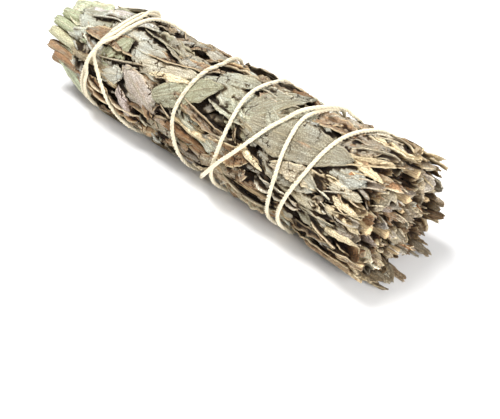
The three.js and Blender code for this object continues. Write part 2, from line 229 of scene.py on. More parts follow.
print("share of the roll that the string presses:", round(float((DENTS > 0.3).mean()), 2))

# %% [markdown]
# ## The sprigs' places
# Eight leafy stems lie round the outside and five in the heart. Each fills a sector of the roll, and
# the borders between them wind a little, because the stems were twisted as they were bound.

# %% Sectors
OUTER_BORDERS, HEART_BORDERS = [-4, 46, 88, 126, 160, 202, 246, 298], [0, 72, 144, 216, 288]
OUTER = {"name": "outer", "first": 1, "count": 8, "borders": OUTER_BORDERS, "waver": 7 * DEGREE}
HEART = {"name": "heart", "first": 9, "count": 5, "borders": HEART_BORDERS, "waver": 8 * DEGREE}
CORE_DEPTH = 2.8
TWIST = 0.0017
LEAF_SEED = 101


def border(ring, k, x):
    """The angle at which sprig k of a ring begins, at one x or many."""
    start = (ring["borders"][k % ring["count"]] + 360 * (k // ring["count"])) * DEGREE
    return start + TWIST * x + ring["waver"] * np.sin(x / 14 + 1.7 * (k % ring["count"]))


def middle(ring, k, x):
    return (border(ring, k, x) + border(ring, k + 1, x)) / 2


print("first sprig spans", [round(float(border(OUTER, k, 0)) / DEGREE) for k in (0, 1)], "degrees")

# %% [markdown]
# ## A leaf blank
# Every leaf starts as the same blank: a flat grid, given a back and a rim by solidify. Its
# coordinates are kept as an attribute, so that a leaf's finish knows where its midrib, its edge and
# its underside are, however the leaf is later bent. There are four sizes of grid, because a scrap needs
# far fewer corners than a broad leaf, and there are hundreds.

# %% Leaf blanks
def coordinates(mesh):
    """A mesh's corners, one row each."""
    co = np.zeros(len(mesh.vertices) * 3)
    mesh.vertices.foreach_get("co", co)
    return co.reshape(-1, 3)


def leaf_blank(name, along, across):
    bm = bmesh.new()
    bmesh.ops.create_grid(bm, x_segments=along, y_segments=across, size=0.5)
    bmesh.ops.solidify(bm, geom=list(bm.faces), thickness=1.0)
    low = min(v.co.z for v in bm.verts)
    bmesh.ops.translate(bm, verts=list(bm.verts), vec=(0, 0, -low))
    bmesh.ops.recalc_face_normals(bm, faces=list(bm.faces))
    for face in bm.faces:
        face.smooth = True
    mesh = bpy.data.meshes.new(name)
    bm.to_mesh(mesh)
    bm.free()
    co = coordinates(mesh)
    place = np.stack([co[:, 0] + 0.5, 2 * co[:, 1], co[:, 2]], -1)
    mesh.attributes.new("leaf_place", "FLOAT_VECTOR", "POINT").data.foreach_set("vector", place.ravel())
    mesh.attributes.new("leaf_tint", "FLOAT_COLOR", "POINT")
    mesh.attributes.new("leaf_open", "FLOAT", "POINT")
    return {
        "mesh": mesh, "rows": along, "columns": across, "side": place[:, 2],
        "row": np.rint(place[:, 0] * along).astype(int),
        "column": np.rint((place[:, 1] + 1) / 2 * across).astype(int),
    }


BROAD_BLANK = leaf_blank("broad_blank", 30, 16)
STRIP_BLANK = leaf_blank("strip_blank", 26, 8)
END_BLANK = leaf_blank("end_blank", 16, 8)
SCRAP_BLANK = leaf_blank("scrap_blank", 8, 4)
for blank in (BROAD_BLANK, STRIP_BLANK, END_BLANK, SCRAP_BLANK):
    print(blank["mesh"].name, len(blank["mesh"].vertices), "vertices, sides", set(blank["side"].round(2)))

# %% [markdown]
# ## Bending a leaf into place
# A dried leaf is a flat blade that has curled, folded and rippled. Cloth simulation would crumple a few
# of them well, but not hundreds, and not the same way each time. So the section is worked out as paper
# bends: the blade keeps its width, and turns a little at each step away from the midrib. Curl turns it
# evenly, a fold turns it all at the midrib, and lean tips the whole leaf on its side.
#
# These are the words for a leaf. x, angle and turn say where it lies and which way it points. Length,
# width, bend (a sideways bow), blunt (how round it ends) and torn give its outline. Root and top are the
# heights of its two ends. Curl, end_curl, fold and lean bend it, and wave, crimp, flutter and pleat
# ripple it. Brown, green, light and hue (straw below 0, mauve above) colour it, and high is how far it
# may stand off the roll.

# %% The words for a leaf
PLAIN_LEAF = {
    "x": 0, "angle": 0, "turn": 0, "length": 26, "width": 10, "bend": 0, "blunt": 0.5, "torn": 0.6,
    "root": -2.5, "top": -0.2, "curl": 0.8, "end_curl": 0, "fold": 0, "lean": 0, "wave": 0.3, "crimp": 0.1,
    "flutter": 0.3, "pleat": 0.28, "pleat_size": 2.2, "thick": 0.3, "brown": 0.1, "green": 0.2, "hue": 0,
    "light": 0.5, "high": 1.3, "seed": 1,
}
BLADE_ENDS, BELLY = (0.012, 0.988), 0.8  # a blade is widest a little nearer its root
UNEVEN_RIM, RAGGED_RIM = 0.09, 0.32  # as shares of the half width
UNEVEN_SIZE, WAVE_SIZE, CRIMP_SIZE, FLUTTER_SIZE = 7, 9, 2.4, 4
PLEAT_WANDER, PLEAT_WANDER_SIZE = 0.5, 12
TEAR_SIZE, TEAR_FADE = 2.6, 7


def ripple(u, v, size, seed):
    """Smooth waves over a blade, about -1 to 1, from a few sines in random directions."""
    draw = draws(seed)
    total = 0
    for _ in range(5):
        heading, phase = draw(0, math.tau), draw(0, math.tau)
        rate = math.tau / (size * draw(0.7, 1.5))
        total = total + np.sin((u * math.cos(heading) + v * math.sin(heading)) * rate + phase)
    return total / 2.6


def outline(leaf, t, s):
    """How far each place of the flat blade is from its midrib; the rim is ragged, row by row."""
    draw = draws(leaf["seed"])
    shape = np.sin(np.pi * np.clip(t, *BLADE_ENDS) ** BELLY) ** leaf["blunt"]
    ragged = np.array([[draw(-1, 1) for _ in range(2)] for _ in t])
    uneven = ripple(t * leaf["length"], 0, UNEVEN_SIZE, leaf["seed"] + 1)
    half = leaf["width"] / 2 * shape * (1 + UNEVEN_RIM * uneven)
    notch = np.where(s < 0, ragged[:, :1], ragged[:, 1:]) * RAGGED_RIM * shape
    return s * half + np.sign(s) * np.abs(s) ** 3 * notch


def section(turning, steps):
    """Follow the turning of a blade outwards from its midrib: across and down, row by row."""
    mid = turning.shape[1] // 2
    flat = (np.cos(turning[:, 1:]) + np.cos(turning[:, :-1])) / 2 * steps
    drop = (np.sin(turning[:, 1:]) + np.sin(turning[:, :-1])) / 2 * steps
    across = np.concatenate([np.zeros((len(flat), 1)), np.cumsum(flat, 1)], 1)
    down = np.concatenate([np.zeros((len(drop), 1)), np.cumsum(drop, 1)], 1)
    return across - across[:, mid : mid + 1], down - down[:, mid : mid + 1]


def puckers(leaf, s, along, reach):
    """What drying adds to the bend: soft waves, fine crimps, a fluttering rim, and pleats."""
    seed = leaf["seed"]
    wander = PLEAT_WANDER * ripple(along, reach * 0.3, PLEAT_WANDER_SIZE, seed + 6)
    return [
        ripple(along, reach, WAVE_SIZE, seed + 3) * leaf["wave"],
        ripple(along, reach, CRIMP_SIZE, seed + 4) * leaf["crimp"],
        np.abs(s) ** 4 * leaf["flutter"] * ripple(along, s * 2, FLUTTER_SIZE, seed + 5),
        leaf["pleat"] * (1 - 2 * np.abs(np.sin(np.pi * (reach / leaf["pleat_size"] + wander)))),
    ]


print("ripples of a blade:", np.round(ripple(np.arange(4.0), 0, 9, 1), 2))

# %% [markdown]
# The blade's rows are closer together towards its ends, where it is torn. Its back follows its face at
# the leaf's thickness, and the flat result is then wrapped round the roll.

# %% One leaf
CREASE = 0.5  # how wide the bend of a fold is, in millimetres
PRESSED, PRESSED_DEPTH, LIMIT_EDGE = -0.08, 3, 0.12
LEAST_RADIUS = 3


def bend_leaf(blank, leaf):
    """Places on the roll for each vertex of a blank: x, angle and height."""
    t = np.linspace(0, 1, blank["rows"] + 1)[:, None]
    t = lerp(t, (1 - np.cos(np.pi * t)) / 2, 0.5)
    s = np.linspace(-1, 1, blank["columns"] + 1)[None, :]
    reach = outline(leaf, t, s)
    curl = lerp(leaf["curl"], leaf["curl"] + leaf["end_curl"], t)
    crease = np.tanh(reach / CREASE) * leaf["fold"]
    turning = curl * reach / max(leaf["width"] / 2, 0.1) + crease + leaf["lean"]
    across, down = section(turning, np.diff(reach, axis=1))
    tear = leaf["torn"] * (ripple(s * leaf["width"], 0, TEAR_SIZE, leaf["seed"] + 2) - 0.4)
    at_ends = np.exp(-(1 - t) * TEAR_FADE) - 0.6 * np.exp(-t * TEAR_FADE)
    along = (t - 0.5) * leaf["length"] + tear * at_ends
    height = lerp(leaf["root"], leaf["top"], np.minimum(1, 1.25 * t) ** 0.6) - down
    for pucker in puckers(leaf, s, along, reach):
        height = height + pucker
    across = across + leaf["bend"] * (t - 0.5) ** 2
    row, column = blank["row"], blank["column"]
    skin = (blank["side"] - 1) * leaf["thick"]
    along, across, height = along[row, column], across[row, column], height[row, column]
    across = across + np.sin(turning[row, column]) * skin
    height = height + np.cos(turning[row, column]) * skin
    x = leaf["x"] + along * math.cos(leaf["turn"]) - across * math.sin(leaf["turn"])
    arc = along * math.sin(leaf["turn"]) + across * math.cos(leaf["turn"])
    radius = max(roll_radius(leaf["x"]) + leaf["top"], LEAST_RADIUS)
    return x, leaf["angle"] + arc / radius, height


def settle(x, angle, height, high):
    """Press a leaf under the string, and keep it from standing too far off the roll."""
    pressed = dent_at(x, angle)
    surface = height - DENT * pressed * np.clip(1 + height / PRESSED_DEPTH, 0, 1)
    limit = lerp(high, PRESSED, pressed)
    return (surface + limit - np.sqrt((surface - limit) ** 2 + LIMIT_EDGE**2)) / 2


def lay(blank, **words):
    """Bend a leaf and settle it on the roll, before it is drawn."""
    leaf = {**PLAIN_LEAF, **words}
    x, angle, height = bend_leaf(blank, leaf)
    return {
        "blank": blank, "leaf": leaf, "x": x, "angle": angle,
        "height": settle(x, angle, height, leaf["high"]),
    }


def lay_all(blank, leaves):
    return [lay(blank, **words) for words in leaves]


print("a laid leaf is", round(float(np.ptp(lay(BROAD_BLANK)["height"])), 2), "mm deep")

# %% [markdown]
# ## What lies under what
# Where one dried leaf overlaps another, a hair of dark shows under its edge, and light hardly reaches
# the gaps. A map of the highest leaf at each place on the roll tells every corner of every leaf how far
# down it lies, and so how open to the light it is. The finish reads that from the mesh, and darkens
# the leaf's colour by it as painted shade.

# %% Cover map
COVER_STEP, COVER_ROWS, COVER_ROUND = 0.7, 200, 152
BARE = -20.0
cover = np.full((COVER_ROWS, COVER_ROUND), BARE)


def cover_cell(laid):
    row = np.rint(laid["x"] / COVER_STEP).astype(int) + COVER_ROWS // 2
    column = np.rint(laid["angle"] / math.tau * COVER_ROUND).astype(int)
    return np.clip(row, 0, COVER_ROWS - 1), column % COVER_ROUND


def mark_cover(laid):
    top = laid["blank"]["side"] > 0.5
    row, column = cover_cell(laid)
    np.maximum.at(cover, (row[top], column[top]), laid["height"][top])


def widened(grid):
    """Each cell takes the highest of itself and its four neighbours."""
    wide = grid
    for axis in (0, 1):
        for step in (-1, 1):
            wide = np.maximum(wide, np.roll(grid, step, axis))
    return wide


print("cover map:", cover.shape, "cells")

# %% [markdown]
# The skin is open where nothing lies on it, and less so the deeper it is under a neighbour. At the two
# ends the light comes in between the leaves from the side, so their faces are open too.

# %% Openness to the light
SKIN_HEIGHTS, INSIDE_HEIGHTS = (-2.6, -1.0), (-3.5, -1.5)
SHADED, HIDDEN, HIDDEN_AT_BUTT = 0.25, 1.25, 0.8  # millimetres beneath the leaf on top
LOOSER = (34, 48)  # where the roll begins to open towards the butt end
BUTT_FACE, TIP_FACE = (BUTT_END - 0.3, BUTT_END + 4.2), (-TIP_END - 6, -TIP_END + 1)


def openness(laid, covered):
    """How open to the light each place is: the skin and the two ends are, and the gaps aren't."""
    x, height = laid["x"], laid["height"]
    depth = covered[cover_cell(laid)] - height
    hidden = lerp(HIDDEN, HIDDEN_AT_BUTT, smoothstep(x, *LOOSER))
    skin = smoothstep(height, *SKIN_HEIGHTS) * (1 - smoothstep(depth, SHADED, hidden))
    butt, tip = smoothstep(x, *BUTT_FACE), smoothstep(-x, *TIP_FACE)
    within = 1 - 0.5 * smoothstep(height, *INSIDE_HEIGHTS)
    return np.maximum(skin, np.maximum(butt, tip) * within)


def add_leaf(bm, laid, covered):
    """Give the blank the shape, openness and tint of one laid leaf, and add it to a sprig."""
    mesh, leaf = laid["blank"]["mesh"], laid["leaf"]
    points = skin_points(laid["x"], laid["angle"], laid["height"])
    points[:, 2] = np.maximum(points[:, 2], FLOOR_GAP)
    mesh.vertices.foreach_set("co", (points * MM).ravel())
    mesh.attributes["leaf_open"].data.foreach_set("value", openness(laid, covered))
    tint = np.tile([leaf[word] for word in ("light", "brown", "green", "hue")], (len(mesh.vertices), 1))
    mesh.attributes["leaf_tint"].data.foreach_set("color", tint.ravel())
    bm.from_mesh(mesh)


print("openness of a leaf:", openness(lay(SCRAP_BLANK), cover).round(2)[:6])

# %% [markdown]
# ## Kinds of leaf
# Each kind of leaf is a table of words. Where a word has a pair of numbers, every leaf draws its own
# value between the two. A kind that comes in several forms, such as rolled or cupped, has a second
# table that overrides some of the words, and the words keep their order, because the draws follow it.

# %% Reading a kind of leaf
def drawn(draw, *tables):
    """One leaf's words. Later tables override earlier ones, and pairs are drawn between their ends."""
    words = {}
    for table in tables:
        words.update(table)
    return {word: draw(*value) if isinstance(value, tuple) else value for word, value in words.items()}


def spot_on(ring, k, x, draw, spread):
    """A place on a sprig, up to `spread` of its sector's width away from the sector's middle."""
    room = float(border(ring, k + 1, x) - border(ring, k, x))
    return {"x": x, "angle": float(middle(ring, k, x)) + draw(-spread, spread) * room}


def either_way(draw, share, spread):
    """A leaf's turn: a share of them point to the butt, and the others to the tip."""
    return (0 if draw(0, 1) < share else math.pi) + draw(-spread, spread)


STREAMS = {  # where a kind's seeds start, and how far apart the seeds of two sprigs are
    "narrow": (3000, 37), "under": (5000, 41), "straw": (6000, 53), "scrap": (7000, 43), "bit": (8000, 47),
}


def stream(kind, k, ring_count=0):
    """The draws of one kind of leaf on one sprig, and the first of its leaves' own seeds."""
    first, step = STREAMS[kind]
    return draws(first + step * k + ring_count), first + 100 * (k + 1) + 10 * ring_count


print("a draw from a table:", drawn(draws(1), {"length": (10, 20), "wave": 0.3}, {"wave": (0, 1)}))

# %% [markdown]
# ## The eight outer sprigs
# The largest leaves lie where the hand pressed the roll, so they show most. They could be copies of one
# leaf, but the eye finds a repeated shape at once, so each has its own size and bend, from the same
# table and draws as the solids' leaves. Three small leaves lie flat underneath, where the bunch rests.

# %% Large leaves of an outer sprig
BROAD_LEAVES = [
    # x, degrees, length, width, turn
    [-51, 12, 21, 13, 172], [-36, 18, 20, 12, 190], [-22, 28, 24, 10, 176], [-6, 27, 22, 13, 192],
    [9, 14, 22, 13, 184], [19, 34, 22, 11, 170], [36, 24, 32, 14, 186], [50, 14, 20, 12, 5],
]
BROAD_LEAF = {
    "bend": 2, "root": -1.9, "curl": 0.3, "end_curl": -0.15, "wave": 0.18, "crimp": 0.06, "flutter": 0.25,
    "pleat": 0.12, "blunt": 0.36, "torn": 0.9, "brown": (-0.1, 0.25), "green": (0.1, 0.7),
    "light": (0.5, 0.8),
}
FLATTENED = 1.22  # a pressed leaf covers this much more width than the solids' leaf
TOP_STEP = 0.15  # neighbours lie over and under each other in three steps
LEAF_ROWS, ROWS_REACH = 7, 49
LEAF_SHAPE = {
    "length": (23, 31), "width": (8, 11.5), "bend": (-6, 6), "curl": (0.2, 1.1), "wave": 0.4, "root": -2.6,
    "top": (-0.8, 0),
}
LEAF_LOOKS = {
    "end_curl": (-0.7, 0.5), "torn": (0.3, 1.4), "brown": (0, 0.6), "green": (0, 0.7), "light": (0.3, 0.85),
    "hue": (-0.9, 0.9), "flutter": (0.2, 0.6),
}
BROWNER = {1: 0.15, 2: 0.2, 3: 0.25, 7: 0.2}  # sprigs whose leaves dried browner, and by how much
CURLIER, LIFTED = 1.2, [0.35, 0.35, 0.35, 0.35, 0.35, 0.35, 0.55, 0.55]  # dried leaves next to the solids'
RESTING_LEAVES = [-36, 24, 48]
RESTING_LEAF = {
    "angle": math.pi, "length": 15, "width": 11, "root": BED - 0.6, "top": BED + 0.3, "curl": 0.1,
    "wave": 0.15, "high": BED + 0.3,
}


def broad_leaves():
    draw = draws(2000)
    leaves = []
    for i, (x, degrees, length, width, turn) in enumerate(BROAD_LEAVES):
        leaves.append({
            "x": x, "angle": degrees * DEGREE, "length": length, "width": width * FLATTENED,
            "turn": turn * DEGREE, "top": 0.4 - TOP_STEP * (i % 3), "seed": LEAF_SEED * (i + 1),
            **drawn(draw, BROAD_LEAF),
        })
    return leaves


def outer_leaves(k):
    draw, tint = draws(LEAF_SEED + k), draws(2100 + k)
    leaves = []
    for row in range(LEAF_ROWS):
        x = lerp(-ROWS_REACH, ROWS_REACH, (row + draw(-0.25, 0.25)) / (LEAF_ROWS - 1))
        leaf = spot_on(OUTER, k, x, draw, 0.28)
        leaf["turn"] = either_way(draw, 0.3, 0.3)
        leaf.update(drawn(draw, LEAF_SHAPE), **drawn(tint, LEAF_LOOKS))
        leaf["curl"] *= CURLIER
        leaf["top"] += LIFTED[k]
        leaf["brown"] += BROWNER.get(k, 0)
        leaf["hue"] **= 3
        leaf["seed"] = LEAF_SEED * 10 * (k + 1) + row
        leaves.append(leaf)
    return leaves


def resting_leaves():
    return [{"x": x, "seed": 77 + i, **RESTING_LEAF} for i, x in enumerate(RESTING_LEAVES)]


print("broad leaves:", len(broad_leaves()), "leaves on another sprig:", len(outer_leaves(3)))

# %% [markdown]
# Between and beneath the large leaves go those that dried narrow: folded along the midrib, cupped the
# other way, or rolled into a tube. Deeper ones are browner, and painted darker as shade, and scraps that
# broke off are stuck in the gaps.

# %% Leaves that dried narrow, leaves beneath, and scraps
NARROW_LEAF = {
    "length": (15, 30), "width": (4, 7), "bend": (-5, 5), "curl": (-0.5, 0.4), "end_curl": (-0.6, 0.9),
    "fold": (0.6, 1.3), "lean": (-1.2, 1.2), "blunt": (0.3, 0.6), "root": (-2.2, -1.2), "top": (-0.7, 0.75),
    "wave": 0.3, "flutter": (0.1, 0.6), "brown": (0, 0.9), "green": (0, 0.7), "light": (-0.1, 0.95),
    "hue": (-1, 0.9), "pleat": 0.2, "pleat_size": (1.2, 2),
}
ROLLED = {"width": (5, 9.5), "curl": (1.7, 3.3), "fold": 0, "lean": (-0.5, 0.5)}
CUPPED = {"fold": (-1.25, -0.6), "lean": (-0.5, 0.5)}
STRAW_COLOURED = {"hue": (-1.3, 0.6)}
STRAW_SPRIGS, PALER_SPRIGS, PALER = (1, 2, 3), (0, 7), 0.3
ROLLED_UP_TO, CUPPED_FROM = 0.4, 0.7
NARROW_REACH, UNDER_REACH, SCRAP_REACH = 52, 50, 56
# Painted shade: the leaves beneath get a low light value, darker as if in shade; their brown is their own.
UNDER_LEAF = {
    "turn": (-0.6, 0.6), "length": (18, 28), "width": (7, 10), "bend": (-5, 5), "curl": (0.4, 2.2),
    "end_curl": (-0.5, 0.5), "root": -2.9, "top": (-2.3, -1.0), "wave": 0.5, "brown": (0.3, 1),
    "green": (0, 0.3), "light": (0.0, 0.35),
}
SCRAP = {
    "turn": (-0.9, 0.9), "length": (2.5, 8), "width": (1.2, 3.6), "curl": (-1, 2), "lean": (-0.9, 0.9),
    "root": (-1.6, -0.3), "top": (-0.8, 0.7), "wave": 0.2, "torn": 0.9, "blunt": 0.25, "brown": (0, 1),
    "green": (0, 0.6), "light": (0.2, 1),
}


def narrow_leaves(k, count):
    draw, seed = stream("narrow", k)
    leaves = []
    for i in range(count):
        x = lerp(-NARROW_REACH, NARROW_REACH, (i + draw(0, 1)) / count)
        kind = draw(0, 1)
        form = ROLLED if kind < ROLLED_UP_TO else CUPPED if kind > CUPPED_FROM else {}
        leaf = spot_on(OUTER, k, x, draw, 0.52)
        leaf["turn"] = either_way(draw, 0.4, 0.22)
        leaf.update(drawn(draw, NARROW_LEAF, form, STRAW_COLOURED if k in STRAW_SPRIGS else {}))
        leaf["brown"] += BROWNER.get(k, 0)
        leaf["light"] += PALER if k in PALER_SPRIGS else 0
        leaf["hue"] **= 1 if k in STRAW_SPRIGS else 3
        leaves.append({**leaf, "seed": seed + i})
    return leaves


def under_leaves(k, count):
    draw, seed = stream("under", k)
    leaves = []
    for i in range(count):
        x = lerp(-UNDER_REACH, UNDER_REACH, (i + draw(0, 1)) / count)
        leaf = spot_on(OUTER, k, x, draw, 0.5)
        leaves.append({**leaf, **drawn(draw, UNDER_LEAF), "seed": seed + i})
    return leaves


def scraps(k, count):
    draw, seed = stream("scrap", k)
    leaves = []
    for i in range(count):
        leaf = spot_on(OUTER, k, draw(-SCRAP_REACH, SCRAP_REACH), draw, 0.5)
        leaves.append({**leaf, **drawn(draw, SCRAP), "seed": seed + i})
    return leaves


print("a narrow leaf:", {key: round(value, 2) for key, value in narrow_leaves(1, 8)[0].items()})

# %% [markdown]
# ## The two ends
# At its ends the roll was never pressed. Leaves lie in loose layers, and each shows its thin edge: an
# arc, a hook or a scroll. The tips are at one end and look green. The butts, with the cut stems, are at
# the other, and are browner and more broken. A flat cut face would look sawn, so the sheets are laid
# one inside the other from the skin to the heart, and each ends a little further out or in.

# %% Leaves at the ends
END_SHEET = {
    "turn": (-0.4, 0.4), "width": (5, 11), "curl": (-1.8, 1.8), "end_curl": (-1.2, 1.6), "fold": (-0.2, 1.1),
    "lean": (-0.6, 0.6), "root": (0, -0.8), "top": (-0.5, 0.5), "bend": (-4, 4), "wave": 0.4,
    "torn": (0.4, 1.6), "blunt": (0.12, 0.4), "flutter": (0.2, 0.8), "brown": (0.2, 1.35), "green": (0, 0.3),
    "light": (0.05, 1.6), "hue": (-1.4, 1.0), "crimp": (0.05, 0.15), "pleat": 0.13, "high": 1.5,
}
SCROLLED, SCROLLED_SHARE = {"curl": (2.2, 4.6), "fold": 0}, 0.4
INNER, INNER_UP_TO = {"width": (3.5, 7.5)}, 0.5
PALER_INSIDE, PALER_WITHIN = 0.6, 0.75  # at the butt, sheets nearer the heart are paler
TIP_SHEET = {
    "torn": (0.1, 0.8), "blunt": (0.22, 0.5), "brown": (0, 0.5), "green": (0.3, 1), "light": (0.6, 1.35),
    "hue": (-0.5, 0.8),
}
SHEET_LENGTH, BEYOND_BUTT, BEYOND_TIP = (11, 18), (-1, 6.5), (2, 8)
OUTER_SHARES = {  # how far out each layer lies at the tip end, -1, and the butt end, 1
    -1: [0.99, 0.95, 0.9, 0.84, 0.78, 0.72, 0.66, 0.58],
    1: [1.0, 0.98, 0.94, 0.9, 0.85, 0.8, 0.75, 0.69, 0.63, 0.56],
}
HEART_SHARES = {
    -1: [0.48, 0.42, 0.36, 0.3, 0.22, 0.14],
    1: [0.5, 0.46, 0.42, 0.38, 0.33, 0.28, 0.22, 0.16, 0.1],
}


def end_sheets(ring, k, out, shares, seed):
    """Curled leaves in layers through the end of a sprig, from the skin inwards."""
    draw = draws(seed)
    at_butt = out > 0
    end = BUTT_END if at_butt else TIP_END
    leaves = []
    for share in shares:
        length = draw(*SHEET_LENGTH)
        reach = draw(*(BEYOND_BUTT if at_butt else BEYOND_TIP))
        x = end + out * (reach - length / 2)
        deep = (share - 1) * float(roll_radius(x))
        scroll = SCROLLED if draw(0, 1) < SCROLLED_SHARE else {}
        inner, tip = {} if share > INNER_UP_TO else INNER, {} if at_butt else TIP_SHEET
        leaf = spot_on(ring, k, x, draw, 0.4)
        leaf.update(drawn(draw, END_SHEET, scroll, inner, tip))
        leaf["turn"] += 0 if at_butt else math.pi
        leaf["root"] += deep
        leaf["top"] += deep
        leaf["light"] += PALER_INSIDE * (PALER_WITHIN - share) if at_butt else 0
        leaf["hue"] **= 1 if at_butt else 3
        leaves.append({**leaf, "length": length, "seed": seed * 31 + len(leaves)})
    return leaves


print("end sheets:", sum(8 * len(OUTER_SHARES[out]) + 5 * len(HEART_SHARES[out]) for out in (-1, 1)))

# %% [markdown]
# Between the sheets of the butt end lie the stiff strips of leaf that dried the colour of straw, and
# broken bits. They are small, so their blanks have few corners, and the bits keep to the face itself.

# %% Straws and broken bits at the butt end
STRAW_STRIP = {
    "turn": (-0.4, 0.4), "length": (8, 19), "width": (2, 4.2), "bend": (-5, 5), "curl": (0.8, 2.8), "fold": 0,
    "lean": (-0.7, 0.7), "root": (-2.2, -0.5), "top": (-1.2, 1.1), "torn": (0.1, 0.7), "blunt": (0.2, 0.5),
    "pleat": 0.06, "pleat_size": 1.1, "crimp": 0.05, "wave": 0.15, "brown": (0, 1.35), "green": 0.1,
    "hue": (-1.3, 0.5), "light": (-0.2, 1.15),
}
FOLDED, FOLDED_SHARE = {"curl": 0.2, "fold": (-1.3, -0.8)}, 0.5
BIT = {
    "turn": (-0.7, 0.7), "length": (4, 9), "width": (2.2, 5.5), "curl": (-2.5, 2.5), "end_curl": (-1, 1),
    "fold": (-0.7, 0.7), "lean": (-1.2, 1.2), "root": (0, -0.7), "top": (-0.5, 0.5), "torn": 0.6,
    "blunt": 0.25, "brown": (0.1, 1.3), "green": (0, 0.5), "hue": (-1.4, 0.7), "light": (0.4, 1.6),
    "high": 1.3,
}
BIT_DEPTHS = {"outer": (0.5, 0.95), "heart": (0.08, 0.52)}  # as shares of the roll's radius
STRAW_X, BIT_X = (46, 61), (-3.5, 0.8)  # along the roll, and from its butt end


def straws(k, count):
    """Narrow dry strips, the colour of straw, folded or rolled, that lie near the butt end."""
    draw, seed = stream("straw", k)
    leaves = []
    for i in range(count):
        x = draw(*STRAW_X)
        form = FOLDED if draw(0, 1) < FOLDED_SHARE else {}
        leaf = spot_on(OUTER, k, x, draw, 0.5)
        leaves.append({**leaf, **drawn(draw, STRAW_STRIP, form), "seed": seed + i})
    return leaves


def end_bits(ring, k, count):
    """Broken bits of leaf, caught between the sheets of the butt end."""
    draw, seed = stream("bit", k, ring["count"])
    leaves = []
    for i in range(count):
        x = BUTT_END + draw(*BIT_X)
        deep = (draw(*BIT_DEPTHS[ring["name"]]) - 1) * float(roll_radius(x))
        leaf = spot_on(ring, k, x, draw, 0.5)
        leaf.update(drawn(draw, BIT), seed=seed + i)
        leaf["root"] += deep
        leaf["top"] += deep
        leaves.append(leaf)
    return leaves


print("straws:", len(straws(0, 15)), "bits:", len(end_bits(HEART, 0, 9)))
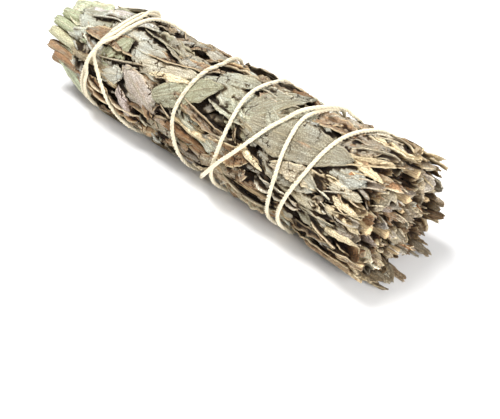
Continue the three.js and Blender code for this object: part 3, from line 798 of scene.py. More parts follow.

# %% [markdown]
# Some leaves are placed one by one. At the tip end these are rolled tips that stick out, a smooth
# round leaf with a green one behind it, and dark curled ones below. Along the front lie the last leaves
# laid on before the string went round, and the last rows of the table cover gaps at the back and under
# the string's lower corners.

# %% Leaves placed one by one
PLACED_LEAVES = [
    # x, degrees, length, width, turn, curl, top, brown, green, hue (straw -1, mauve 1), light
    [-58.5, 22, 19, 11.0, 174, 2.2, 0.5, 0.0, 1.0, 0.0, 0.7],
    [-60.0, 45, 18, 10.0, 183, 2.5, 0.4, 0.1, 1.0, 0.0, 0.75],
    [-59.5, 66, 19, 9.0, 186, 2.0, 0.1, 0.3, 0.9, -0.3, 0.75],
    [-53.5, -8, 14, 14.0, 170, 0.9, 0.5, 0.0, 0.0, 0.5, 0.95],
    [-58.0, -30, 15, 12.0, 176, 1.2, 0.2, 0.1, 0.9, 0.0, 0.6],
    [-60.5, 88, 16, 10.0, 184, 2.6, 0.1, 1.0, 0.1, 0.0, 0.5],
    [-60.0, 112, 16, 9.0, 178, 2.2, 0.0, 0.9, 0.1, 0.2, 0.5],
    [-60.5, 4, 6, 7.0, 180, 3.6, 0.1, 1.0, 0.2, 0.0, 0.5],
    [-50.0, -48, 17, 5.0, 186, 2.4, 0.6, 1.0, 0.0, 0.0, 1.0],
    [-8, 44, 26, 9.5, 329, 0.1, 1.0, 0.0, 0.75, 0.0, 0.4],
    [-38, 42, 13, 9.5, 305, 0.4, 1.0, 0.05, 0.9, 0.0, 0.55],
    [-36, 66, 11, 8.0, 343, 0.5, 0.7, 0.25, 0.3, 0.0, 0.7],
    [-18, 32, 25, 5.5, 349, 0.6, 1.1, 0.1, 0.2, -0.3, 0.65],
    [-16, 38, 17, 3.2, 350, 0.8, 0.9, 0.2, 0.1, -1.0, 1.0],
    [2, 12, 22, 5.5, 345, 1.7, 1.1, 0.0, 0.5, 0.0, 0.7],
    [-24, 67, 18, 8.5, 212, 0.5, 0.8, 0.4, 0.2, 0.5, 0.6],
    [-29, 96, 14, 6.5, 250, 1.2, 0.8, 0.2, 0.1, 0.9, 0.75],
    [20, 5, 20, 8.5, 306, -0.05, 0.9, 0.0, 0.5, 0.0, 0.3],
    [33, 32, 40, 12.5, 354, -0.12, 0.9, 0.0, 0.4, 0.0, 0.15],
    [36, 58, 24, 9.5, 3, -0.05, 0.6, 0.1, 0.3, 0.0, 0.3],
    [50, 6, 15, 11.0, 351, 0.1, 0.8, 0.6, 0.2, 0.0, 0.35],
    [53, 36, 15, 8.5, 359, 0.5, 0.9, 0.0, 0.3, 0.0, 0.6],
    [22, 65, 13, 2.8, 14, 1.0, 0.9, 0.3, 0.0, -1.0, 1.0],
    [55, 24, 20, 3.4, 9, 0.9, 1.3, 0.2, 0.0, -1.1, 0.95],
    [57, 14, 8, 3.6, 348, 1.2, 1.2, 0.3, 0.0, -1.1, 1.05],
    [57, 60, 14, 3.0, 3, 0.8, 1.1, 0.15, 0.2, -0.9, 0.9],
    [58, 70, 14, 3.2, 6, 0.9, 1.0, 0.3, 0.1, -0.9, 0.8],
    [56, 50, 12, 4.5, 354, 1.2, 1.1, 0.1, 0.3, -0.3, 0.6],
    [58, 86, 15, 3.4, 350, 1.0, 0.9, 0.3, 0.0, -1.0, 0.9],
    [38, -16, 17, 8.0, 346, 0.3, 0.7, 0.75, 0.1, 0.0, 0.6],
    [6, 298, 22, 10.5, 8, 0.3, -0.5, 0.5, 0.3, 0.0, 0.5],
    [-41, 339, 18, 8.0, 176, 0.6, -0.9, 0.5, 0.2, 0.3, 0.4],
    [24, 133, 15, 8.0, 350, 0.5, -0.8, 0.6, 0.1, 0.0, 0.45],
    [32, 250, 20, 7.0, 4, 0.4, -0.8, 0.5, 0.3, 0.0, 0.45],
    [-46, 245, 16, 8.0, 180, 0.4, -0.7, 0.1, 0.8, 0.0, 0.5],
    [-9, 127, 14, 7.0, 10, 0.8, -0.7, 0.7, 0.1, 0.0, 0.4],
    [20, 287, 18, 8.0, 352, 0.4, -0.6, 0.3, 0.4, 0.0, 0.5],
    [-50, 116, 17, 10.0, 176, 0.8, 0.3, 1.0, 0.1, 0.0, 0.6],
    [-52, 134, 16, 9.0, 184, 0.6, 0.2, 0.6, 0.5, 0.0, 0.5],
    [-50, 152, 15, 10.0, 178, 0.4, 0.2, 0.8, 0.2, 0.0, 0.5],
    [-50, 240, 17, 10.0, 178, 0.7, 0.3, 0.2, 0.8, 0.0, 0.6],
    [-52, 221, 16, 9.0, 186, 0.5, 0.2, 0.6, 0.4, 0.2, 0.5],
    [-50, 204, 15, 10.0, 182, 0.4, 0.2, 0.7, 0.3, 0.0, 0.5],
    [-58, 97, 15, 9.0, 180, 1.8, 0.6, 1.1, 0.1, 0.0, 0.6],
]
PLACED_LEAF = {"wave": 0.15, "flutter": 0.25, "crimp": 0.05, "pleat": 0.07}
ALONG_THE_ROLL = {"blunt": 0.6, "torn": 0.8}
AT_THE_TIP = {"blunt": 0.3, "torn": 0.45}


def sprig_at(x, angle):
    """The outer sprig whose sector holds a place on the roll."""
    past = [k for k in range(OUTER["count"]) if float(border(OUTER, k, x)) <= angle]
    return past[-1] if past else OUTER["count"] - 1


def placed_leaves(k):
    leaves = []
    for i, (x, degrees, length, width, turn, curl, top, *looks) in enumerate(PLACED_LEAVES):
        if sprig_at(x, degrees * DEGREE) == k:
            leaves.append({
                "x": x, "angle": degrees * DEGREE, "length": length, "width": width, "turn": turn * DEGREE,
                "curl": curl, "root": top - 1.5, "top": top, "seed": 8800 + i,
                **dict(zip(("brown", "green", "hue", "light"), looks)),
                **PLACED_LEAF, **(ALONG_THE_ROLL if x > -50 else AT_THE_TIP),
            })
    return leaves


print("leaves placed by hand:", [len(placed_leaves(k)) for k in range(8)])

# %% [markdown]
# ## The crumbled core
# Inside each sprig, the small inner leaves have dried to a brown crumb, painted very dark as the shade
# down the gaps. It is only seen down the gaps, so it needn't be separate bits: it starts as a cube, cut
# into a fine grid, and every corner is then moved into the sprig's sector, and roughened.

# %% The crumbled core
CRUMB, FINE_CRUMB, END_CRUMB = 0.55, 0.3, 0.8
CORE_CUTS = 15
CORE_GAP = 0.012  # the angle left between two neighbouring cores
CORES = {
    # where it ends, how uneven its ends are, inner and outer share of the roll's radius, and how far sunk
    "outer": ((TIP_END + 4, BUTT_END - 6), ((0, 3), (0, 3)), (0.5, 1), CORE_DEPTH),
    "heart": ((TIP_END + 6, BUTT_END - 8), ((1, 4), (2, 5)), (0.06, 0.5), 0.3),
}


def core_blank(name, cuts):
    bm = bmesh.new()
    bmesh.ops.create_cube(bm, size=1)
    bmesh.ops.subdivide_edges(bm, edges=list(bm.edges), cuts=cuts, use_grid_fill=True)
    for face in bm.faces:
        face.smooth = True
    mesh = bpy.data.meshes.new(name)
    bm.to_mesh(mesh)
    bm.free()
    return mesh


CORE_BLANK = core_blank("core_blank", CORE_CUTS)


def add_core(bm, ring, k, draw, seed):
    ends, uneven, (low_share, high_share), sunk = CORES[ring["name"]]
    x_from, x_to = ends[0] + draw(*uneven[0]), ends[1] - draw(*uneven[1])
    co = coordinates(CORE_BLANK)
    u, v, w = (co + 0.5).T
    x = lerp(x_from, x_to, u)
    angle = lerp(border(ring, k, x) + CORE_GAP, border(ring, k + 1, x) - CORE_GAP, v)
    radius = roll_radius(x)
    height = lerp((low_share - 1) * radius, (high_share - 1) * radius - sunk, w)
    rough = ripple(x, angle * radius, 3.1, seed) * CRUMB
    rough = rough + ripple(x, angle * radius, 1.3, seed + 1) * FINE_CRUMB
    height = height + rough * np.clip(w * 1.5, 0, 1)
    x = x + ripple(angle * radius, height, 2.5, seed + 2) * END_CRUMB * (2 * u - 1)
    before = len(bm.faces)
    CORE_BLANK.vertices.foreach_set("co", (skin_points(x, angle, height) * MM).ravel())
    bm.from_mesh(CORE_BLANK)
    CORE_BLANK.vertices.foreach_set("co", co.ravel())
    bm.faces.ensure_lookup_table()
    for face in bm.faces[before:]:
        face.material_index = 1


print("core blank:", len(CORE_BLANK.polygons), "faces")

# %% [markdown]
# ## Assembling the leaves
# First every leaf of the eight outer sprigs is laid, and marked on the cover map. The sprig on top has
# the large leaves, and the lowest one the leaves that the bunch rests on.

# %% Laying the outer sprigs
TOP_SPRIG, LOWEST_SPRIG = 0, 4
NARROW_COUNTS = [11, 17, 17, 17, 16, 19, 19, 20]
UNDER_COUNT, STRAW_COUNT, SCRAP_COUNT = 8, 15, 26
BIT_COUNTS = {"outer": 10, "heart": 9}
END_SEEDS = {"outer": 9000, "heart": 9500}


def end_layers(ring, k, shares):
    laid = []
    for out in (-1, 1):
        seed = END_SEEDS[ring["name"]] + 10 * k + out
        laid += lay_all(END_BLANK, end_sheets(ring, k, out, shares[out], seed))
    return laid


def outer_sprig(k):
    laid = lay_all(BROAD_BLANK, broad_leaves() if k == TOP_SPRIG else outer_leaves(k))
    if k == LOWEST_SPRIG:
        laid += lay_all(STRIP_BLANK, resting_leaves())
    laid += lay_all(BROAD_BLANK, placed_leaves(k))
    laid += lay_all(STRIP_BLANK, under_leaves(k, UNDER_COUNT) + narrow_leaves(k, NARROW_COUNTS[k]))
    laid += lay_all(END_BLANK, straws(k, STRAW_COUNT))
    laid += lay_all(SCRAP_BLANK, scraps(k, SCRAP_COUNT) + end_bits(OUTER, k, BIT_COUNTS["outer"]))
    return laid + end_layers(OUTER, k, OUTER_SHARES)


def heart_sprig(k):
    return end_layers(HEART, k, HEART_SHARES) + lay_all(SCRAP_BLANK, end_bits(HEART, k, BIT_COUNTS["heart"]))


outer_sprigs = [outer_sprig(k) for k in range(OUTER["count"])]
for sprig in outer_sprigs:
    for laid in sprig:
        mark_cover(laid)
covered = widened(cover)
print("leaves laid:", [len(sprig) for sprig in outer_sprigs])

# %% [markdown]
# Each sprig's leaves and core then become one object, which stands for that sprig's solid. The sprigs
# in the heart only show at the two ends, so they have no leaves in between.

# %% Sprig pieces
leaf_finish = bpy.data.materials.new("sage leaf")
crumb_shade_finish = bpy.data.materials.new("crumbled leaf in painted shade")


def finish_mesh(bm, name, materials, turn_out=False):
    """Make a bmesh into an object that rides on the bunch."""
    if turn_out:
        bmesh.ops.recalc_face_normals(bm, faces=list(bm.faces))
    for face in bm.faces:
        face.smooth = True
    mesh = bpy.data.meshes.new(name)
    bm.to_mesh(mesh)
    bm.free()
    for material in materials:
        mesh.materials.append(material)
    piece = bpy.data.objects.new(name, mesh)
    bpy.context.collection.objects.link(piece)
    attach(piece, "root")
    return piece


def triangles(piece):
    return sum(len(polygon.vertices) - 2 for polygon in piece.data.polygons)


def sprig_piece(ring, k, sprig, core_draw, core_seed):
    bm = bmesh.new()
    add_core(bm, ring, k, core_draw, core_seed)
    for laid in sprig:
        add_leaf(bm, laid, covered)
    name = f"sprig_{ring['first'] + k:02d}_leaves"
    piece = finish_mesh(bm, f"{name}_dried", [leaf_finish, crumb_shade_finish])
    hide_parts(name)
    print(piece.name, triangles(piece), "triangles")
    return piece


foliage = []
for k, sprig in enumerate(outer_sprigs):
    foliage.append(sprig_piece(OUTER, k, sprig, draws(LEAF_SEED + 3 * k), 900 + k))
for k in range(HEART["count"]):
    foliage.append(sprig_piece(HEART, k, heart_sprig(k), draws(LEAF_SEED + 5 * k + 50), 950 + k))
print("leaf triangles in all:", sum(triangles(piece) for piece in foliage))

# %% [markdown]
# ## A tube from a grid
# Stems and string are both long tubes. A grid with one row of corners for each ring is wrapped round
# the path, its two long edges are merged into one, and the two ends are closed.

# %% Tube maker
def tube(bm, rings, places):
    """Wrap a grid into a tube through rings[row][corner], in millimetres; returns the two end faces."""
    rows, sides = rings.shape[:2]
    sheet = bmesh.new()
    bmesh.ops.create_grid(sheet, x_segments=rows - 1, y_segments=sides, size=0.5)
    mesh = bpy.data.meshes.new("tube")
    sheet.to_mesh(mesh)
    sheet.free()
    co = coordinates(mesh)
    row = np.rint((co[:, 0] + 0.5) * (rows - 1)).astype(int)
    column = np.rint((co[:, 1] + 0.5) * sides).astype(int) % sides
    mesh.vertices.foreach_set("co", (rings[row, column] * MM).ravel())
    layer = mesh.attributes.new("strand_place", "FLOAT_VECTOR", "POINT")
    layer.data.foreach_set("vector", places[row, column].ravel())
    before = len(bm.verts)
    bm.from_mesh(mesh)
    bpy.data.meshes.remove(mesh)
    bm.verts.ensure_lookup_table()
    new = bm.verts[before:]
    bmesh.ops.remove_doubles(bm, verts=[v for v in new if v.is_boundary], dist=1e-8)
    rim = [e for e in bm.edges if e.is_boundary]
    return bmesh.ops.holes_fill(bm, edges=rim, sides=0)["faces"]


def frames_along(centres):
    """Unit vectors along a path, and two across it that turn as little as they can."""
    ahead = np.gradient(centres, axis=0)
    ahead /= np.linalg.norm(ahead, axis=1)[:, None]
    across = np.zeros_like(ahead)
    start = np.cross(ahead[0], [0.1, 0.2, 0.97])
    for i, direction in enumerate(ahead):
        start = start - direction * start.dot(direction)
        start /= np.linalg.norm(start)
        across[i] = start
    return ahead, across, np.cross(ahead, across)


print("frames:", [v.shape for v in frames_along(np.array([[0, 0, 0], [1, 0, 0], [2, 0.1, 0]], float))])

# %% [markdown]
# ## Stems
# Sage stems are square when young, woody and grooved along their length, with pale pith in the cut. A
# cylinder along a curve would be too even, so a stem is a ring of corners drawn along its path, thicker
# and knobblier towards the butt. Its cut ends are inset twice: the first step is the bark's edge, and
# the second is the hollow that dry pith leaves.

# %% Stem maker
STEM_SIDES = 20
SQUARE, CORNER, GROOVE, KNOBS = 0.8, 1.2, 0.09, 0.07
BARK, PITH_STEP, PITH_HOLLOW = 0.22, 0.12, 0.25
bark_finish = bpy.data.materials.new("sage bark")
pith_finish = bpy.data.materials.new("sage pith")


def ring_sides(turn, across, over):
    """Unit vectors from a path to the corners of the rings round it."""
    return np.cos(turn)[None, :, None] * across[:, None] + np.sin(turn)[None, :, None] * over[:, None]


def stem_rings(path, half_from, half_to, seed):
    """A stem's rings of corners, and for each corner its place on the strand, for the fibres."""
    places = np.array(path, float)
    centres = skin_points(places[:, 0], places[:, 1], places[:, 2])
    ahead, across, over = frames_along(centres)
    turn = np.arange(STEM_SIDES) * math.tau / STEM_SIDES + 0.4
    square = 1 / np.maximum(np.abs(np.cos(turn)), np.abs(np.sin(turn)))
    rim = lerp(1, np.minimum(square, CORNER), SQUARE) * (1 - GROOVE * (np.arange(STEM_SIDES) % 2))
    t = np.linspace(0, 1, len(path))[:, None]
    knobs = 1 + KNOBS * ripple(places[:, :1], turn[None, :], 4, seed)
    radius = lerp(half_from, half_to, t) * rim[None, :] * knobs
    rings = centres[:, None] + radius[..., None] * ring_sides(turn, across, over)
    run = places[:, :1] + 37 * seed + 0 * radius
    return rings, np.stack([run, radius * np.cos(turn), radius * np.sin(turn)], -1)


def cut_end(bm, cap, bark, seed):
    """Bark edge, then a sunk and ragged pith, on the end face of a stem."""
    draw, facing = draws(seed), cap.normal.copy()
    for vertex in cap.verts:
        vertex.co += facing * draw(-0.25, 0.35) * MM
    bmesh.ops.inset_region(bm, faces=[cap], thickness=bark * MM, use_even_offset=True)
    cap.material_index = 1
    step = bmesh.ops.inset_region(bm, faces=[cap], thickness=bark * MM, depth=-PITH_STEP * MM)
    for face in step["faces"]:
        face.material_index = 1
    hollow = bmesh.ops.poke(bm, faces=[cap])
    for vertex in hollow["verts"]:
        vertex.co -= facing * PITH_HOLLOW * MM
    for face in hollow["faces"]:
        face.material_index = 1


def make_stem(name, path, half_from, half_to, seed):
    bm = bmesh.new()
    rings, spot = stem_rings(path, half_from, half_to, seed)
    caps = tube(bm, rings, spot)
    bmesh.ops.recalc_face_normals(bm, faces=list(bm.faces))
    for cap in caps:
        cap.normal_update()
        cut_end(bm, cap, BARK * half_to, seed)
    piece = finish_mesh(bm, f"{name}_wood", [bark_finish, pith_finish])
    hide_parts(name)
    return piece


print("a stem's ring:", stem_rings([(0, 0, 0), (1, 0, 0), (2, 0, 0)], 0.7, 1, 1)[0].shape)

# %% [markdown]
# Every sprig has one main stem, down the middle of its sector. It starts inside the leaves, and its cut
# end is a little in or out at the butt, as nobody trims a bunch to the millimetre.

# %% The thirteen main stems
STEM_SHARE = {"outer": 0.69, "heart": 0.3}  # how far out they lie in the roll
STEM_STEP, STEM_TIP = 1.5, 0.7


def main_stem(ring, k):
    draw = draws(LEAF_SEED + 7 * k + ring["count"])
    start = draw(-50, -40)
    end = BUTT_END + draw(-2, 7)
    half_butt = draw(0.85, 1.35)
    deep = STEM_SHARE[ring["name"]] - 1
    xs = np.arange(start, end + 0.01, (end - start) / round((end - start) / STEM_STEP))
    return [(x, float(middle(ring, k, x)), deep * float(roll_radius(x))) for x in xs], half_butt


stems = []
for ring in (OUTER, HEART):
    for k in range(ring["count"]):
        number = ring["first"] + k
        path, half_butt = main_stem(ring, k)
        stems.append(make_stem(f"sprig_{number:02d}_stem", path, STEM_TIP, half_butt, 400 + number))
print("main stems:", len(stems), "of", triangles(stems[0]), "triangles")

# %% [markdown]
# Six bare stalks were bound in with the leaves, just under the skin, and most come out at the butt end.

# %% Bare stalks
STALKS = [
    # from and to, each as x and degrees
    [[20, 17], [63, 30]], [[-34, 90], [30, 104]], [[8, 128], [65, 112]],
    [[-12, 60], [61, 73]], [[-20, 318], [62, 331]], [[-28, 246], [60, 256]],
]
STALK_DEPTH, STALK_RINGS = 1.6, 34
STALK_TIP, STALK_BUTT = 0.5, 0.85

for i, ((x0, a0), (x1, a1)) in enumerate(STALKS):
    steps = np.linspace(0, 1, STALK_RINGS)
    path = [(lerp(x0, x1, t), lerp(a0, a1, t) * DEGREE, -STALK_DEPTH) for t in steps]
    stems.append(make_stem(f"stalk_{i + 1}", path, STALK_TIP, STALK_BUTT, 500 + i))
print("stems and stalks:", len(stems))

# %% [markdown]
# ## Cotton string
# The string is three soft plies twisted together. One round cord with a bump map would look like wire
# at its edge, so each ply is a thin tube that winds round the string's own path, and the light catches
# a slanting row of small ridges, as on the real thing.

# %% Plies round a path
PLIES, PLY_RADIUS, PLY_OFFSET, PLY_PITCH, PLY_SIDES = 3, 0.32, 0.29, 3.3, 7
PLY_STEP = 0.36
FRAY_LENGTH = 3.5
SNUG = 0.03
LOWEST_STRING = 0.63
cotton_finish = bpy.data.materials.new("cotton string")


def even_path(places, step):
    """Points along a path of places [x, angle in degrees, height], evenly spaced, and its length."""
    places = np.array(places, float)
    points = skin_points(places[:, 0], places[:, 1] * DEGREE, places[:, 2])
    points[:, 2] = np.maximum(points[:, 2], LOWEST_STRING)
    run = np.concatenate([[0], np.cumsum(np.linalg.norm(np.diff(points, axis=0), axis=1))])
    even = np.linspace(0, run[-1], int(run[-1] / step) + 2)
    return np.stack([np.interp(even, run, points[:, axis]) for axis in range(3)], -1), run[-1]


def smooth(points, passes):
    for _ in range(passes):
        points[1:-1] = (points[:-2] + 2 * points[1:-1] + points[2:]) / 4
    return points


def twist_plies(bm, points, frayed_end=False, seed=1):
    """Wind the plies round a path. Each is a little uneven, and at a frayed end they come apart."""
    ahead, across, over = frames_along(points)
    run = np.arange(len(points)) * PLY_STEP
    around = np.arange(PLY_SIDES) * math.tau / PLY_SIDES
    draw = draws(seed)
    for ply in range(PLIES):
        wander = 0.35 * ripple(run, 0, 17, seed + ply)
        turn = run / PLY_PITCH * math.tau + ply * math.tau / PLIES + wander
        offset = PLY_OFFSET * (1 + 0.1 * ripple(run, 0, 6, seed + 10 + ply))
        radius = PLY_RADIUS * (1 + 0.09 * ripple(run, 0, 2.2, seed + 20 + ply))
        if frayed_end:
            loose = np.clip(1 - (run[-1] - run) / FRAY_LENGTH, 0, 1) ** 1.5
            offset = offset + loose * draw(0.35, 0.7)
            radius = radius * (1 - 0.6 * loose)
        centre = points + (offset * np.cos(turn))[:, None] * across + (offset * np.sin(turn))[:, None] * over
        rings = centre[:, None] + radius[:, None, None] * ring_sides(around, across, over)
        spot = np.stack([
            np.repeat(run[:, None], PLY_SIDES, 1),
            PLY_RADIUS * np.cos(around)[None, :] + 0 * run[:, None] + 5 * ply,
            PLY_RADIUS * np.sin(around)[None, :] + 0 * run[:, None],
        ], -1)
        tube(bm, rings, spot)


print("string thickness:", 2 * (PLY_RADIUS + PLY_OFFSET), "mm over its plies")

# %% [markdown]
# The string starts and ends in a small knot at the back of the tip end: three wraps round the two
# strands, and two short tails that come apart at their ends. The wraps are a coil, and all the paths are
# given as places on the roll, like the leaves'.

# %% The string
KNOT_X, KNOT_HEIGHT, KNOT_SPAN = -45.1, 1.25, (278.5, 291.5)
KNOT_TURNS, KNOT_COIL, KNOT_LENGTHENED = 3.2, 0.62, 1.25
TAILS = [
    # x, degrees, height
    [[-45.1, 286, 1.5], [-42.5, 287, 1.4], [-39.5, 289, 1.0], [-36.2, 288, 0.9], [-34.0, 284, 1.1]],
    [[-45.1, 284, 1.5], [-43.2, 279, 1.4], [-42.2, 270, 0.9], [-41.6, 260, 0.9], [-42.4, 252, 1.0]],
]


def knot_places():
    steps = np.linspace(0, 1, 60)
    coil = steps * KNOT_TURNS * math.tau
    return np.stack([
        KNOT_X + KNOT_COIL * np.cos(coil) * KNOT_LENGTHENED, lerp(*KNOT_SPAN, steps),
        KNOT_HEIGHT + KNOT_COIL * np.sin(coil),
    ], -1)


def tail_places(tail):
    fine, spots = np.linspace(0, len(tail) - 1, 40), np.array(tail, float)
    return np.stack([np.interp(fine, range(len(tail)), spots[:, axis]) for axis in range(3)], -1)


bm = bmesh.new()
route_places = np.stack([route_along, route_angle, route_lift + SNUG + STRING_RADIUS], -1)
winding, string_length = even_path(route_places, PLY_STEP)
twist_plies(bm, smooth(winding, 4), seed=11)
knot_path, knot_length = even_path(knot_places(), PLY_STEP)
twist_plies(bm, knot_path, seed=12)
tail_lengths = []
for i, tail in enumerate(TAILS):
    tail_path, tail_length = even_path(tail_places(tail), PLY_STEP)
    tail_lengths.append(tail_length)
    twist_plies(bm, smooth(tail_path, 12), frayed_end=True, seed=13 + i)
string = finish_mesh(bm, "string_twisted", [cotton_finish], turn_out=True)
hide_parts("string")
print("string:", round(string_length), "mm wound,", round(knot_length), "in the knot, tails",
      [round(v) for v in tail_lengths], "mm,", triangles(string), "triangles")

# %% [markdown]
# ## Finishes
# Every finish is a tree of shader nodes. A few small helpers keep the trees readable: one adds a node
# and fills its sockets, the others do sums and blends, and one turns a colour as seen on a screen into
# the linear one that shaders use.

# %% Node helpers
def srgb(red, green, blue):
    def linear(value):
        value /= 255
        return value / 12.92 if value <= 0.04045 else ((value + 0.055) / 1.055) ** 2.4

    return (linear(red), linear(green), linear(blue), 1.0)


def put(tree, kind, inputs=None, **settings):
    node = tree.nodes.new(kind)
    for key, value in settings.items():
        setattr(node, key, value)
    for name, value in (inputs or {}).items():
        if isinstance(value, bpy.types.NodeSocket):
            tree.links.new(value, node.inputs[name])
        else:
            node.inputs[name].default_value = value
    return node


def blend(tree, factor, a, b, how="MIX"):
    node = put(tree, "ShaderNodeMix", {0: factor, 6: a, 7: b}, data_type="RGBA", blend_type=how)
    return node.outputs[2]


def sums(tree, how, a, b=0.0, clamp=False):
    return put(tree, "ShaderNodeMath", {0: a, 1: b}, operation=how, use_clamp=clamp).outputs[0]


def times(tree, first, *others, clamp=False):
    for other in others:
        first = sums(tree, "MULTIPLY", first, other, clamp)
    return first


def plus(tree, first, *others, clamp=False):
    for other in others:
        first = sums(tree, "ADD", first, other, clamp)
    return first


def minus(tree, a, b, clamp=False):
    return sums(tree, "SUBTRACT", a, b, clamp)


def span(tree, value, low, high, to_low=0.0, to_high=1.0, smooth_step=True):
    """Carry a value from one range to another, easing in and out unless told not to."""
    words = {"From Min": low, "From Max": high, "To Min": to_low, "To Max": to_high, "Value": value}
    kind = "SMOOTHSTEP" if smooth_step else "LINEAR"
    return put(tree, "ShaderNodeMapRange", words, interpolation_type=kind).outputs[0]


def on_vectors(tree, how, inputs):
    return put(tree, "ShaderNodeVectorMath", inputs, operation=how).outputs[0]


def parts_of(tree, vector):
    return put(tree, "ShaderNodeSeparateXYZ", {0: vector}).outputs


def noise(tree, vector, size_mm, detail=3.0, rough=0.55):
    """Noise whose patches are about size_mm across, on coordinates in metres."""
    words = {"Vector": vector, "Scale": 1 / (size_mm * MM), "Detail": detail, "Roughness": rough}
    return put(tree, "ShaderNodeTexNoise", words).outputs["Fac"]


def cell_edges(tree, vector, scale):
    words = {"Vector": vector, "Scale": scale}
    return put(tree, "ShaderNodeTexVoronoi", words, feature="DISTANCE_TO_EDGE").outputs["Distance"]


def bumped(tree, shader, strength, depth_mm, height):
    words = {"Strength": strength, "Distance": depth_mm * MM, "Height": height}
    tree.links.new(put(tree, "ShaderNodeBump", words).outputs[0], shader.inputs["Normal"])


print("cream in linear light:", tuple(round(v, 3) for v in srgb(232, 222, 200)))

# %% [markdown]
# Sage is known by its skin: a net of fine sunken veins with the leaf puffed up between them, like
# pebbles. Displaced geometry this fine would cost millions of faces, so one group of nodes makes the
# relief for any finish that needs it, from cells whose edges a little noise has bent.

# %% Pebbled relief
def new_group(name, numbers, results, vector=False):
    """A node group with a vector input if asked for, number inputs with their values, and outputs."""
    group = bpy.data.node_groups.new(name, "ShaderNodeTree")
    if vector:
        group.interface.new_socket("Vector", in_out="INPUT", socket_type="NodeSocketVector")
    for label, value in numbers.items():
        socket = group.interface.new_socket(label, in_out="INPUT", socket_type="NodeSocketFloat")
        socket.default_value = value
    for label in results:
        group.interface.new_socket(label, in_out="OUTPUT", socket_type="NodeSocketFloat")
    return group, put(group, "NodeGroupInput").outputs, put(group, "NodeGroupOutput").inputs


def make_pebble_group():
    group, given, out = new_group("pebbled skin", {"Scale": 1700}, ["Pebbles", "Grain"], vector=True)
    warp = put(group, "ShaderNodeTexNoise", {"Vector": given["Vector"], "Scale": 900.0}).outputs["Color"]
    shift = on_vectors(group, "SUBTRACT", {0: warp, 1: (0.5, 0.5, 0.5)})
    small = on_vectors(group, "SCALE", {0: shift, "Scale": 0.5 * MM})
    moved = on_vectors(group, "ADD", {0: given["Vector"], 1: small})
    puffed = span(group, cell_edges(group, moved, given["Scale"]), 0.0, 0.16)
    grain = put(group, "ShaderNodeTexNoise", {"Vector": given["Vector"], "Scale": 5200.0, "Detail": 2.0})
    group.links.new(puffed, out["Pebbles"])
    group.links.new(grain.outputs["Fac"], out["Grain"])
    return group


pebbled = make_pebble_group()


def pebbles(tree, vector, size_mm):
    node = put(tree, "ShaderNodeGroup", node_tree=pebbled)
    tree.links.new(vector, node.inputs["Vector"])
    node.inputs["Scale"].default_value = 1 / (size_mm * MM)
    return node.outputs["Pebbles"], node.outputs["Grain"]


print("pebble group:", len(pebbled.nodes), "nodes")

# %% [markdown]
# ## The leaf finish
# A dried leaf isn't one colour. The leaf's own coordinates say where its midrib, edges and underside
# are, and its tint says how green, brown or pale it dried. Image textures would repeat and would not
# follow the mesh, so everything is worked out from those values and from noise. Noise of three sizes
# gives blotches, mottling and specks, and a fourth, stretched along the leaf, gives streaks.

# %% What a leaf's finish reads
def read_leaf(tree):
    """The sockets that a leaf's colour, light and relief start from."""
    space = put(tree, "ShaderNodeTexCoord").outputs["Object"]
    place = put(tree, "ShaderNodeAttribute", attribute_name="leaf_place")
    along, across, side = parts_of(tree, place.outputs["Vector"])
    tint = put(tree, "ShaderNodeAttribute", attribute_name="leaf_tint")
    light, brown, green = put(tree, "ShaderNodeSeparateColor", {0: tint.outputs["Color"]}).outputs
    lengthways = put(tree, "ShaderNodeCombineXYZ", {
        0: times(tree, along, 3.0), 1: times(tree, across, 5.0), 2: times(tree, light, 60.0),
    })
    streaks = put(tree, "ShaderNodeTexNoise", {"Vector": lengthways.outputs[0], "Scale": 1.0, "Detail": 3.0})
    return {
        "space": space, "along": along, "aside": sums(tree, "ABSOLUTE", across), "side": side,
        "light": light, "brown": brown, "green": green, "streak": streaks.outputs["Fac"],
        "mauve": times(tree, tint.outputs["Alpha"], 0.9, clamp=True),
        "straw": times(tree, tint.outputs["Alpha"], -0.9, clamp=True),
        "large": noise(tree, space, 7, 2), "middling": noise(tree, space, 1.8, 3),
        "speck": noise(tree, space, 0.5, 2), "from_tip": parts_of(tree, space)[0],
    }


on_leaves = [attribute.name for attribute in BROAD_BLANK["mesh"].attributes]
print("the finish reads:", [name for name in on_leaves if name.startswith("leaf")])

# %% [markdown]
# Blotches of several sizes break the colour up. Grey felt shows on the less green leaves, browning
# follows the streaks and the edges, rust comes in specks, and the rim and the midrib dry paler.

# %% Leaf colours
TAUPE, GREEN, GREY_GREEN = (211, 204, 190), (182, 185, 149), (202, 205, 196)
BROWN, RUST, PALE_STRAW, MAUVE = (178, 144, 108), (178, 122, 78), (250, 229, 184), (206, 186, 178)
RIB, UNDERSIDE = (226, 216, 184), (222, 212, 186)


